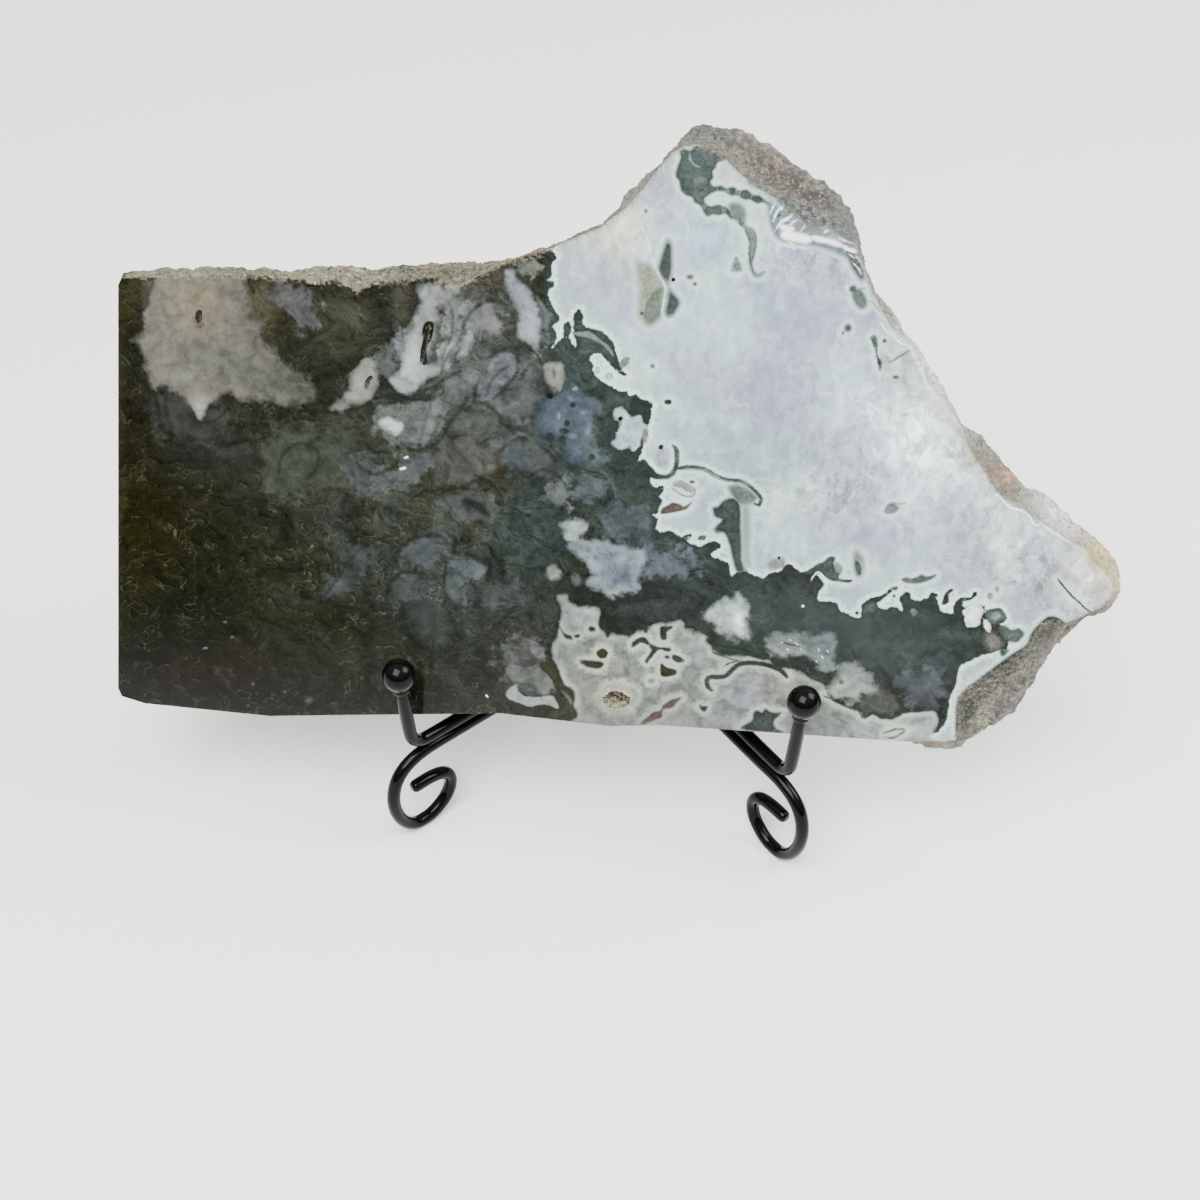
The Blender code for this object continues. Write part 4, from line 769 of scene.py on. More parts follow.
def markings():
    """Every marking as (layer, colour, softness, outline in the picture)."""
    made = [("moss", MOSS, 0.25, rounded(MOSS_EDGE, True))]
    for layer, shapes in (("pool", POOLS), ("clear", CLEAR), ("dark", DARK)):
        made += [(layer, colour, soft, rounded(points, True)) for colour, soft, points in shapes]
    made += [("dark", colour, soft, egg(*rest)) for colour, soft, *rest in GRAINS]
    made += [("dark", colour, soft, ribbon(points, width)) for colour, soft, width, points in LINES]
    for layer, soft, lines in (("seam", 0.45, SEAMS), ("pale_seam", 0.5, PALE_SEAMS)):
        made += [(layer, MOSS, soft, ribbon(points, width)) for width, points in lines]
    made += [("glint", WHITE, soft, ribbon(points, width)) for soft, width, points in CHIPS_AND_GLINTS]
    return made


def squared_gap(points, start, end):
    """The square of each point's distance from a straight stretch."""
    way = end - start
    off = points - start
    along = np.clip(off @ way / (way @ way + 1e-9), 0.0, 1.0)
    return ((off - along[:, None] * way) ** 2).sum(1)


def is_inside(points, outline):
    """Which points lie inside a closed outline."""
    inside = np.zeros(len(points), bool)
    x, y = points.T
    for (ax, ay), (bx, by) in zip(outline, np.roll(outline, -1, 0)):
        if ay != by:
            inside ^= ((ay > y) != (by > y)) & (x < ax + (y - ay) * (bx - ax) / (by - ay))
    return inside


def between(points, outlines):
    """Which points lie inside the first outline and outside the others."""
    kept = is_inside(points, outlines[0])
    for outline in outlines[1:]:
        kept &= ~is_inside(points, outline)
    return kept


def inside_by(points, outline, limit=FAR):
    """How far each point lies inside the outline, less than 0 outside it, as far as the limit."""
    depth = np.full(len(points), -limit)
    low, high = outline.min(0) - limit, outline.max(0) + limit
    near = np.nonzero(((points > low) & (points < high)).all(1))[0]
    best = np.full(len(near), limit * limit)
    for start, end in zip(outline, np.roll(outline, -1, 0)):
        best = np.minimum(best, squared_gap(points[near], start, end))
    depth[near] = np.where(is_inside(points[near], outline), 1.0, -1.0) * np.sqrt(best)
    return depth


def cloud(points, x, y, half_width, half_height, turn, strength):
    """How much of each point a soft cloud covers: its strength in the middle, a quarter at its edge."""
    c, s = math.cos(math.radians(turn)), math.sin(math.radians(turn))
    dx, dy = points[:, 0] - x, points[:, 1] - y
    reach = ((c * dx + s * dy) / half_width) ** 2 + ((c * dy - s * dx) / half_height) ** 2
    return strength * np.exp(-1.4 * reach)


def covered(points, shapes):
    """How much of each point the soft clouds cover together."""
    bare = np.ones(len(points))
    for shape in shapes:
        bare *= 1.0 - cloud(points, *shape)
    return 1.0 - bare


def clouds(points, base, painted):
    """The colour at each point, from a base and the soft clouds painted over it in turn."""
    colours = np.tile(of_stone(base), (len(points), 1)) if isinstance(base, str) else base
    for colour, *shape in painted:
        share = cloud(points, *shape)[:, None]
        colours = colours * (1.0 - share) + np.array(of_stone(colour)) * share
    return colours


def select_only(piece):
    """Makes this the one selected, active object."""
    bpy.ops.object.select_all(action="DESELECT")
    piece.select_set(True)
    bpy.context.view_layer.objects.active = piece


def edit_all(*steps):
    """Runs edit tools in turn, each with its settings, on the whole of the active mesh."""
    bpy.ops.object.mode_set(mode="EDIT")
    for tool, settings in steps:
        bpy.ops.mesh.select_all(action="SELECT")
        tool(**settings)
    bpy.ops.object.mode_set(mode="OBJECT")


def blank_from_node(name, new_name):
    """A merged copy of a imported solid's mesh, as a new object."""
    piece = bpy.data.objects.new(new_name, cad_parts[name].data.copy())
    bpy.context.scene.collection.objects.link(piece)
    piece.data.materials.clear()
    select_only(piece)
    edit_all((bpy.ops.mesh.remove_doubles, {"threshold": MERGE}))
    return piece


def vertex_places(mesh):
    """The mesh's vertices as an array."""
    places = np.empty(len(mesh.vertices) * 3)
    mesh.vertices.foreach_get("co", places)
    return places.reshape(-1, 3)


def triangles_of(mesh):
    """The mesh's triangles as an array of vertex numbers."""
    corners = np.empty(len(mesh.loops), int)
    mesh.loops.foreach_get("vertex_index", corners)
    return corners.reshape(-1, 3)


def sides_only(piece, cuts):
    """Leaves the slab's sides and hollows, cut finer, without its two flat faces."""
    bpy.ops.object.mode_set(mode="EDIT")
    bpy.ops.mesh.select_mode(type="FACE")
    bpy.ops.object.mode_set(mode="OBJECT")
    heights = vertex_places(piece.data)[:, 2]
    levels = [np.abs(heights - level) < FLAT for level in (0.0, -THICKNESS)]
    for polygon in piece.data.polygons:
        corners = list(polygon.vertices)
        polygon.select = any(level[corners].all() for level in levels)
    bpy.ops.object.mode_set(mode="EDIT")
    bpy.ops.mesh.delete(type="ONLY_FACE")
    bpy.ops.mesh.select_mode(type="VERT")
    edit_all((bpy.ops.mesh.delete_loose, {}), (bpy.ops.mesh.subdivide, {"number_cuts": cuts}),
             (bpy.ops.mesh.quads_convert_to_tris, {}))


def rim_loops(triangles, places, height):
    """The open loops of the sides at a height, each as vertex numbers in order."""
    edges = np.concatenate([triangles[:, [0, 1]], triangles[:, [1, 2]], triangles[:, [2, 0]]])
    keys, counts = np.unique(np.sort(edges, axis=1), axis=0, return_counts=True)
    keys = keys[counts == 1]
    keys = keys[(np.abs(places[keys, 2] - height) < FLAT).all(1)]
    beside = {}
    for a, b in keys.tolist():
        beside.setdefault(a, []).append(b)
        beside.setdefault(b, []).append(a)
    loops = []
    while beside:
        start = next(iter(beside))
        loop = [start]
        before, here = None, start
        while True:
            steps = [v for v in beside.pop(here) if v != before and (v in beside or v == start)]
            if not steps or (steps[0] == start and len(loop) > 2):
                break
            before, here = here, steps[0]
            loop.append(here)
        loops.append(loop)
    return sorted(loops, key=len, reverse=True)


def marking_points():
    """Points along every marking's outline, on it and close beside it, on the face."""
    rows = []
    for _, _, _, outline in markings():
        aside = across_of(np.roll(outline, -1, 0) - np.roll(outline, 1, 0)) * BESIDE
        rows += [outline, outline + aside, outline - aside]
        if len(outline) < SMALL_MARKING:
            rows.append(outline.mean(0)[None])
    return to_face(np.concatenate(rows))


def even_grid(low, high, step):
    """Points in even triangles over a box."""
    rows = []
    for number, y in enumerate(np.arange(low[1], high[1], step * ROW_SHARE)):
        across = np.arange(low[0] + number % 2 * step / 2, high[0], step)
        rows.append(np.stack([across, np.full(len(across), y)], -1))
    return np.concatenate(rows)


def face_points(outlines, step, extra):
    """Points for a flat face: the extra ones, and even ones between them, all clear of its rim."""
    rim = np.concatenate(outlines)
    grid = even_grid(rim.min(0), rim.max(0), step)
    if len(extra):
        taken, asked = [np.round(points / (step * GIVES_WAY)).astype(int).tolist()
                        for points in (extra, grid)]
        taken = set(map(tuple, taken))
        grid = np.concatenate([extra, grid[[tuple(cell) not in taken for cell in asked]]])
    grid = grid[between(grid, outlines)]
    _, first = np.unique(np.round(grid / FINEST).astype(int), axis=0, return_index=True)
    grid = grid[np.sort(first)]
    tree = KDTree(len(rim))
    for number, place in enumerate(rim):
        tree.insert((*place, 0.0), number)
    tree.balance()
    return grid[[tree.find((*place, 0.0))[2] > RIM_GAP for place in grid]]


def fill_face(places, loops, step, extra):
    """Triangles that fill a flat face: its new places, and triangles over rim and new places."""
    rim = np.concatenate(loops)
    outlines = [places[loop][:, :2] for loop in loops]
    grid = face_points(outlines, step, extra)
    edges = []
    for loop in loops:
        start, count = len(edges), len(loop)
        edges += [(start + i, start + (i + 1) % count) for i in range(count)]
    points = [Vector(p) for p in np.concatenate([places[rim][:, :2], grid]).tolist()]
    made, _, faces, _, _, _ = delaunay_2d_cdt(points, edges, [], 0, 1e-7, True)
    if len(made) != len(points):
        raise RuntimeError("The face's fill moved its rim: %d places became %d" % (len(points), len(made)))
    faces = np.array(faces)
    middles = np.array([p[:] for p in made])[faces].mean(1)
    numbers = np.concatenate([rim, len(places) + np.arange(len(grid))])
    return grid, numbers[faces[between(middles, outlines)]]


def add_value(mesh, name, values):
    """A number on every vertex, for the materials."""
    mesh.attributes.new(name, "FLOAT", "POINT").data.foreach_set("value", np.asarray(values, "f"))


def add_colour(mesh, name, colours):
    """A colour on every vertex, for the materials."""
    full = np.concatenate([colours, np.ones((len(colours), 1))], 1)
    mesh.attributes.new(name, "FLOAT_COLOR", "POINT").data.foreach_set("color", full.astype("f").ravel())


def narrow_hollows(places):
    """Draws the walls of the slit and of the two small hollows in, to the width of the real ones."""
    for top, foot, reach, across, along in HOLLOWS:
        high, low = to_face([top, foot])
        middle = (high + low) / 2.0
        tall = np.linalg.norm(high - low)
        way = (high - low) / tall
        side = np.array([way[1], -way[0]])
        off = places[:, :2] - middle
        length, width = off @ way, off @ side
        near = (np.abs(width) < reach) & (np.abs(length) < tall / 2.0 + HOLLOW_MARGIN)
        moved = middle + length[:, None] * way * along + width[:, None] * side * across
        places[near, :2] = moved[near]


def break_mouth(places):
    """Breaks the edge of the druse's mouth in coarse and fine bites, most at the face."""
    off = places[:, :2] - np.array(DRUSE_MIDDLE)
    near = (np.abs(off) < DRUSE_HALF).all(axis=1) & (places[:, 2] > -DRUSE_LIP)
    for number in np.flatnonzero(near):
        place = Vector(places[number])
        bite = 0.34 * (abs(noise.noise(place * 1.4)) + 0.5 * abs(noise.noise(place * 3.1)))
        places[number, :2] -= off[number] * bite * (1.0 + place.z / DRUSE_LIP)


def sawn_gap(places):
    """How far a place on the stone lies from its sawn edges, in mm."""
    sawn = to_face(np.reshape(SAWN_EDGE, (-1, 2)))
    gaps = [squared_gap(places[:, :2], start, end) for start, end in zip(sawn, sawn[1:])]
    return np.sqrt(np.min(gaps, axis=0))


def rind_share(places, rim, is_side):
    """How much of the rind shows: all on the broken sides, fading out over the face beside them."""
    from_rim = np.abs(inside_by(places[:, :2], rim, RIND_FADE))
    from_sawn = sawn_gap(places)
    face = np.clip(RIND_AT_RIM - from_rim / RIND_FADE, 0.0, 1.0) * rise(from_sawn, *OFF_SAWN)
    shallow, deep = BROKEN_RIND
    broken = shallow + (deep - shallow) * rise(-places[:, 2], 0.0, RIND_DEPTH)
    return np.where(is_side, np.where(from_sawn < SAWN_SIDE, SAWN_RIND, broken), face)


def paint_markings(mesh, places):
    """Writes the markings on the stone: how deep in each layer a vertex lies, and its colours."""
    seen = to_picture(places)
    layers = {}
    for layer, colour, soft, outline in markings():
        depth = inside_by(seen, outline)
        if layer not in layers:
            layers[layer] = [np.full(len(seen), -FAR), np.tile(of_stone(colour), (len(seen), 1)),
                             np.full(len(seen), PLAIN_EDGE)]
        best, tint, edge = layers[layer]
        deeper = depth > best
        tint[deeper | (depth > 0.0)] = of_stone(colour)
        edge[deeper] = soft
        best[deeper] = depth[deeper]
    for layer, (best, tint, edge) in layers.items():
        for x, y, half_width, half_height, more in SOFTER.get(layer, ()):
            off = (seen - (x, y)) / (half_width, half_height)
            edge = edge + more * np.exp(-(off ** 2).sum(1))
        add_value(mesh, layer + "_depth", best / PX_PER_MM)
        add_value(mesh, layer + "_edge", edge)
        if layer in ("pool", "clear", "dark"):
            add_colour(mesh, layer + "_tint", clouds(seen, tint, CLEAR_CLOUDS if layer == "clear" else ()))
    for name, (base, painted) in TINTS.items():
        add_colour(mesh, name, clouds(seen, base, painted))
    for name, shapes in COVERS.items():
        add_value(mesh, name, covered(seen, shapes))
    stone_place = mesh.attributes.new("stone_place", "FLOAT_VECTOR", "POINT")
    stone_place.data.foreach_set("vector", places.astype("f").ravel())


def roughen(piece, name, size, depth, kind):
    """Pushes the broken sides in and out by a pattern of stone grain."""
    texture = bpy.data.textures.new(name, "CLOUDS")
    texture.noise_scale = size
    texture.noise_depth = 2
    texture.noise_type = kind
    modifier = piece.modifiers.new(name, "DISPLACE")
    modifier.texture = texture
    modifier.strength = depth
    modifier.mid_level = 0.5
    modifier.vertex_group = "broken"
    select_only(piece)
    bpy.ops.object.modifier_apply(modifier=name)


def break_sides(piece):
    """Makes the broken sides lumpy and grainy, the sawn ones hardly, and the rims not at all."""
    places = vertex_places(piece.data)
    from_face = np.minimum(-places[:, 2], places[:, 2] + THICKNESS)
    broken = np.maximum(rise(sawn_gap(places), SAWN_SIDE, FULL_GRAIN_OFF_SAWN), SAWN_GRAIN)
    broken *= rise(from_face, 0.0, FULL_GRAIN_OFF_FACE)
    group = piece.vertex_groups.new(name="broken")
    for number, share in enumerate(broken.tolist()):
        group.add([number], share, "REPLACE")
    for grain in GRAIN:
        roughen(piece, *grain)
    piece.vertex_groups.clear()


def make_stone(step, cuts):
    """The polished slab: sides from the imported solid, and faces filled to follow the markings."""
    piece = blank_from_node("agate_slab", "moss_agate_slab")
    piece.data.transform(face_matrix().inverted())
    sides_only(piece, cuts)
    break_sides(piece)
    places = vertex_places(piece.data)
    narrow_hollows(places)
    break_mouth(places)
    sides = triangles_of(piece.data)
    side_count = len(places)
    front_rims = rim_loops(sides, places, 0.0)
    back_rims = rim_loops(sides, places, -THICKNESS)
    grid, front = fill_face(places, front_rims, step, marking_points())
    places = np.concatenate([places, np.pad(grid, ((0, 0), (0, 1)))])
    grid, back = fill_face(places, back_rims, step * BACK_STEP, ())
    places = np.concatenate([places, np.pad(grid, ((0, 0), (0, 1)), constant_values=-THICKNESS)])
    faces = np.concatenate([front, back[:, ::-1], sides])
    mesh = bpy.data.meshes.new("moss_agate_slab")
    mesh.from_pydata(places.tolist(), [], faces.tolist())
    mesh.validate()
    settings = bpy.context.scene.agate_settings
    mesh.materials.append(polished_agate(settings.face_roughness))
    mesh.materials.append(rough_rind(settings.rind_relief))
    mesh.polygons.foreach_set("material_index", (np.arange(len(faces)) >= len(front) + len(back)).astype(int))
    paint_markings(mesh, places)
    share = rind_share(places, places[front_rims[0]][:, :2], np.arange(len(places)) < side_count)
    for rim in front_rims[1:]:
        share[rim] = HOLLOW_RIM_RIND
    add_value(mesh, "rind_share", share)
    mesh.transform(face_matrix())
    old = piece.data
    piece.data = mesh
    bpy.data.meshes.remove(old)
    select_only(piece)
    bpy.ops.object.shade_smooth_by_angle(angle=SMOOTH_ANGLE)
    print("stone:", len(front), "front,", len(back), "back,", len(sides), "side triangles")
    return piece


# The kinds of node that the materials and the sky use: Blender's name for it, its settings, the
# sockets that a call's values go to in turn, and the output that the call gives back. The stone's
# places are in mm, so a noise there with a scale of 0.5 changes about every two millimetres.
LEVELS = ("Value", "From Min", "From Max", "To Min", "To Max")
CLOUDY = ("Vector", "Scale", "Detail", "Roughness")
NODES = {
    "plus": ("Math", {"operation": "ADD"}, (0, 1), 0),
    "minus": ("Math", {"operation": "SUBTRACT"}, (0, 1), 0),
    "times": ("Math", {"operation": "MULTIPLY"}, (0, 1), 0),
    "size": ("Math", {"operation": "ABSOLUTE"}, (0,), 0),
    "fraction": ("Math", {"operation": "FRACT"}, (0,), 0),
    "moved": ("VectorMath", {"operation": "ADD"}, (0, 1), 0),
    "away": ("VectorMath", {"operation": "SUBTRACT"}, (0, 1), 0),
    "scaled": ("VectorMath", {"operation": "SCALE"}, (0, "Scale"), 0),
    "stretched": ("Mapping", {}, ("Vector", "Scale"), 0),
    "across": ("SeparateXYZ", {}, (0,), "X"),
    "height": ("SeparateXYZ", {}, (0,), "Z"),
    "ramp": ("MapRange", {}, LEVELS, 0),
    "ease": ("MapRange", {"interpolation_type": "SMOOTHSTEP"}, LEVELS, 0),
    "mix": ("Mix", {"data_type": "RGBA"}, (0, 6, 7), 2),
    "multiply": ("Mix", {"data_type": "RGBA", "blend_type": "MULTIPLY"}, (0, 6, 7), 2),
    "noise": ("TexNoise", {}, CLOUDY, "Fac"),
    "noise_colour": ("TexNoise", {}, CLOUDY, "Color"),
    "cell": ("TexVoronoi", {"feature": "F1"}, ("Vector", "Scale"), "Color"),
    "cell_middle": ("TexVoronoi", {"feature": "F1"}, ("Vector", "Scale"), "Distance"),
    "cell_edge": ("TexVoronoi", {"feature": "DISTANCE_TO_EDGE"}, ("Vector", "Scale"), "Distance"),
    "painted_number": ("Attribute", {}, (), "Fac"),
    "painted_colour": ("Attribute", {}, (), "Color"),
    "painted_place": ("Attribute", {}, (), "Vector"),
    "own_place": ("TexCoord", {}, (), "Object"),
    "sky_place": ("TexCoord", {}, (), "Generated"),
    "bump": ("Bump", {}, ("Height", "Strength", "Distance"), 0),
}


def put(tree, socket, value):
    """Gives a socket a value, an output to link from, or the stone's colour for a hex colour."""
    if isinstance(value, bpy.types.NodeSocket):
        tree.links.new(value, socket)
    elif isinstance(value, str):
        socket.default_value = (*of_stone(value), 1.0)
    else:
        socket.default_value = value


def add_node(tree, kind, *values, **settings):
    """One shader node with its settings, values and links, as the output that its kind gives."""
    blender_name, usual, sockets, output = NODES[kind]
    node = tree.nodes.new("ShaderNode" + blender_name)
    for name, value in {**usual, **settings}.items():
        setattr(node, name, value)
    for socket, value in zip(sockets, values):
        put(tree, node.inputs[socket], value)
    return node.outputs[output]


def new_material(name):
    """A new material, and the function that adds a node to it."""
    material = bpy.data.materials.new(name)
    material.use_nodes = True
    return material, partial(add_node, material.node_tree)


def dressed(material, inputs):
    """The material, with its Principled shader's inputs set or linked."""
    tree = material.node_tree
    for name, value in inputs.items():
        put(tree, tree.nodes["Principled BSDF"].inputs[name], value)
    return material


def shaded(add, colour, change):
    """A colour made lighter or darker by a share of itself."""
    return add("multiply", 1.0, colour, add("plus", change, 1.0))


def bent_place(add, place, per_mm, reach, stretch=(1.0, 1.0, 1.0)):
    """Places pushed about by soft noise, so that a pattern on them bends."""
    bend = add("away", add("noise_colour", place, per_mm, 2.0, 0.5), (0.5, 0.5, 0.5))
    return add("stretched", add("moved", place, add("scaled", bend, reach)), stretch)


def contour_lines(add, field, count, width):
    """Thin lines along a field's levels, as a chart shows height: 1 on a line, 0 between."""
    level = add("fraction", add("times", field, count))
    return add("ramp", add("size", add("minus", level, 0.5)), width, 0.0)


def layer_mask(add, layer, ragged):
    """Where a layer of markings shows, 1 well inside it, and how deep in it a place is, in mm."""
    depth = add("plus", add("painted_number", attribute_name=layer + "_depth"), ragged)
    edge = add("painted_number", attribute_name=layer + "_edge")
    return add("ease", depth, add("times", edge, -1.0), edge), depth


def quartz_colour(add, place, fine, moss_depth, dark_depth):
    """Milky quartz: clouds of lilac and green-white, feathery crystals, and white round the moss."""
    colour = add("painted_colour", attribute_name="quartz_tint")
    cloudy = add("noise", bent_place(add, place, 0.05, 16.0), 0.06, 4.0, 0.55)
    colour = add("mix", add("ramp", cloudy, 0.5, 0.68, 0.0, 0.6), colour, "#B2B4C0")
    colour = add("mix", add("ramp", cloudy, 0.48, 0.3, 0.0, 0.6), colour, "#CDD6D3")
    # Crystal faces: each one a little lighter or darker, and split by fine bright cracks.
    crystals = add("painted_number", attribute_name="crystals")
    feather = add("noise", bent_place(add, place, 0.13, 10.0, (1.0, 0.42, 1.0)), 0.42, 6.0, 0.66)
    feather = add("times", add("ramp", feather, 0.36, 0.64, -1.0, 1.0),
                  add("ramp", crystals, 0.0, 0.9, 0.17, 0.36))
    colour = shaded(add, colour, feather)
    bent = bent_place(add, place, 0.3, 3.0, (1.0, 0.7, 1.0))
    cell = add("ramp", add("across", add("cell", bent, 0.42)), 0.0, 1.0, -0.34, 0.34)
    colour = shaded(add, colour, add("times", cell, crystals))
    crack = add("ramp", add("cell_edge", bent, 0.42), 0.05, 0.0)
    here = add("ramp", add("noise", place, 0.2, 3.0, 0.55), 0.45, 0.6, 0.0, 0.5)
    colour = add("mix", add("times", crack, add("times", crystals, here)), colour, "#EEF1F0")
    # Veils, thin as contour lines, and small white flecks.
    veil = contour_lines(add, add("noise", bent_place(add, place, 0.09, 9.0), 0.09, 3.0, 0.5), 7.0, 0.2)
    here = add("ramp", add("noise", place, 0.11, 2.0, 0.55), 0.45, 0.65, 0.0, 0.2)
    colour = add("mix", add("times", veil, here), colour, "#DCE3E3")
    fleck = add("ramp", add("cell_middle", place, 1.0), 0.24, 0.1)
    here = add("times", add("ramp", add("noise", place, 0.16, 3.0, 0.7), 0.5, 0.64),
               add("ramp", crystals, 0.0, 0.8, 0.25, 1.0))
    colour = add("mix", add("times", fleck, here), colour, "#F4F7F7")
    # The quartz is shaded near the moss and white at the moss and at the grains.
    ragged = add("times", add("minus", fine, 0.5), 3.0)
    for depth, start, end, most, tint in ((moss_depth, -6.0, -1.6, 0.4, "#B9C4C2"),
                                          (moss_depth, -1.5, -0.4, 0.75, "#D2DAD7"),
                                          (dark_depth, -1.8, -0.2, 0.6, "#D2D9D6")):
        near = add("ease", add("plus", depth, ragged), start, end, 0.0, most)
        colour = add("mix", near, colour, tint)
    return colour


def moss_colour(add, place, ragged, wide, moss_depth, clear_depth):
    """Moss in dark quartz: fine threads, swirling lines round dim pools, and clots."""
    colour = add("painted_colour", attribute_name="moss_tint")
    thread_tint = add("painted_colour", attribute_name="thread_tint")
    calm = add("painted_number", attribute_name="calm")
    pool_edge = add("painted_number", attribute_name="pool_edge")
    shift = add("plus", add("times", ragged, 2.4), add("times", wide, add("times", pool_edge, 9.0)))
    pool_mask, pool_depth = layer_mask(add, "pool", shift)
    swirl = bent_place(add, place, 0.09, 18.0)
    field = add("noise", swirl, 0.13, 3.0, 0.5)
    wild = add("times", add("ease", field, 0.53, 0.62, 0.0, 0.55),
               add("painted_number", attribute_name="pools"))
    colour = add("mix", wild, colour, "#5E6967")
    pools = add("multiply", 1.0, add("painted_colour", attribute_name="pool_tint"),
                add("ramp", wide, -0.2, 0.2, 0.75, 1.2))
    colour = add("mix", add("times", pool_mask, 0.82), colour, pools)
    off_pools = add("minus", 1.0, add("times", pool_mask, 0.7))
    clot = add("minus", add("noise", swirl, 0.2, 6.0, 0.62), 0.5)
    colour = shaded(add, colour, add("times", clot, add("ramp", calm, 0.0, 1.0, 2.4, 1.3)))
    # Threads: a folded noise and its neighbour's, so that each thread is lit on one side.
    bent = bent_place(add, place, 0.13, 12.0, (0.75, 1.0, 1.0))
    folds = [add("size", add("minus", add("noise", at, 0.24, 2.0, 0.55), 0.5))
             for at in (bent, add("moved", bent, (0.2, 0.35, 0.0)))]
    relief = add("times", add("minus", *folds), add("ramp", calm, 0.0, 1.0, 6.0, 0.8))
    relief = add("ramp", add("times", relief, off_pools), -0.55, 0.65, -0.55, 0.65)
    colour = shaded(add, colour, relief)
    thread = add("ramp", folds[0], 0.02, 0.004)
    here = add("ramp", add("noise", place, 0.2, 3.0, 0.55), 0.41, 0.56, 0.0, 0.95)
    here = add("times", add("times", here, add("ramp", calm, 0.0, 1.0, 1.0, 0.1)), off_pools)
    colour = add("mix", add("times", thread, here), colour, thread_tint)
    # Swirling lines, light and dark side by side, closer together round the pools.
    flow = add("plus", field, add("times", pool_depth, 0.02))
    here = add("times", add("ramp", add("noise", place, 0.12, 3.0, 0.6), 0.42, 0.6, 0.0, 0.9),
               add("ramp", calm, 0.0, 0.9, 1.0, 0.15))
    for aside, width, tint in ((0.0, 0.16, "#262D26"), (0.018, 0.09, thread_tint)):
        line = add("times", contour_lines(add, add("plus", flow, aside), 13.0, width), here)
        colour = add("mix", add("times", line, 0.5), colour, tint)
    for layer, rough, most, tint in (("seam", 1.2, 0.6, "#2A342D"), ("pale_seam", 1.6, 0.3, "#8A928D")):
        seam, _ = layer_mask(add, layer, add("times", ragged, rough))
        colour = add("mix", add("times", seam, most), colour, tint)
    # The moss darkens towards the clear windows and pales at its own edge.
    colour = add("mix", add("ease", clear_depth, -1.2, -0.1, 0.0, 0.5), colour, "#38423C")
    return add("mix", add("ease", moss_depth, 1.3, 0.3, 0.0, 0.6), colour, "#414C48")


def clear_colour(add, place, fine, clear_depth, dark_depth):
    """Pale quartz in the moss: cloudy, whiter at its margin and round the grains in it."""
    mottle = add("noise", bent_place(add, place, 0.2, 5.0), 0.32, 5.0, 0.62)
    rims = add("painted_number", attribute_name="rims")
    cloudy = add("times", add("ramp", mottle, 0.36, 0.64, -0.4, 0.42),
                 add("ramp", rims, 0.0, 0.8, 0.75, 1.0))
    colour = shaded(add, add("painted_colour", attribute_name="clear_tint"), cloudy)
    ragged = add("times", add("minus", fine, 0.5), 2.5)
    for depth, start, end, most, tint in ((clear_depth, 2.0, 0.3, 0.5, "#C4CAC5"),
                                          (dark_depth, -1.9, -0.3, 0.75, "#CACEC8")):
        near = add("ease", add("plus", depth, ragged), start, end, 0.0, most)
        colour = add("mix", add("times", near, rims), colour, tint)
    return colour, mottle


def stone_colour(add):
    """The colour of the agate everywhere: quartz, moss, clear windows, grains and glints."""
    place = add("painted_place", attribute_name="stone_place")
    fine = add("noise", place, 1.1, 3.0, 0.6)
    ragged = add("minus", fine, 0.5)
    wide = add("minus", add("noise", place, 0.3, 3.0, 0.6), 0.5)
    moss_mask, moss_depth = layer_mask(add, "moss", add("times", ragged, 1.2))
    clear_edge = add("painted_number", attribute_name="clear_edge")
    window = add("plus", add("times", ragged, 0.6), add("times", wide, add("times", clear_edge, 4.0)))
    clear_mask, clear_depth = layer_mask(add, "clear", window)
    dark_mask, dark_depth = layer_mask(add, "dark", add("times", ragged, 0.55))
    glint_mask, _ = layer_mask(add, "glint", add("times", ragged, 0.5))
    quartz = quartz_colour(add, place, fine, moss_depth, dark_depth)
    moss = moss_colour(add, place, ragged, wide, moss_depth, clear_depth)
    clear, mottle = clear_colour(add, place, fine, clear_depth, dark_depth)
    dark = add("painted_colour", attribute_name="dark_tint")
    for pattern, low, high, least, most in ((mottle, 0.3, 0.7, 0.62, 1.4), (fine, 0.36, 0.64, 0.8, 1.22),
                                            (dark_depth, 0.1, 1.1, 0.75, 1.15)):
        dark = add("multiply", 1.0, dark, add("ramp", pattern, low, high, least, most))
    colour = quartz
    # The glint layer holds white chips and cracks, and painted highlights: sheen and specks on the polish.
    for mask, above in ((moss_mask, moss), (clear_mask, clear), (dark_mask, dark), (glint_mask, "#F0F4F4")):
        colour = add("mix", mask, colour, above)
    speck = add("noise", place, 4.0, 2.0, 0.6)
    return add("multiply", 1.0, colour, add("ramp", speck, 0.3, 0.7, 0.9, 1.1)), place, fine


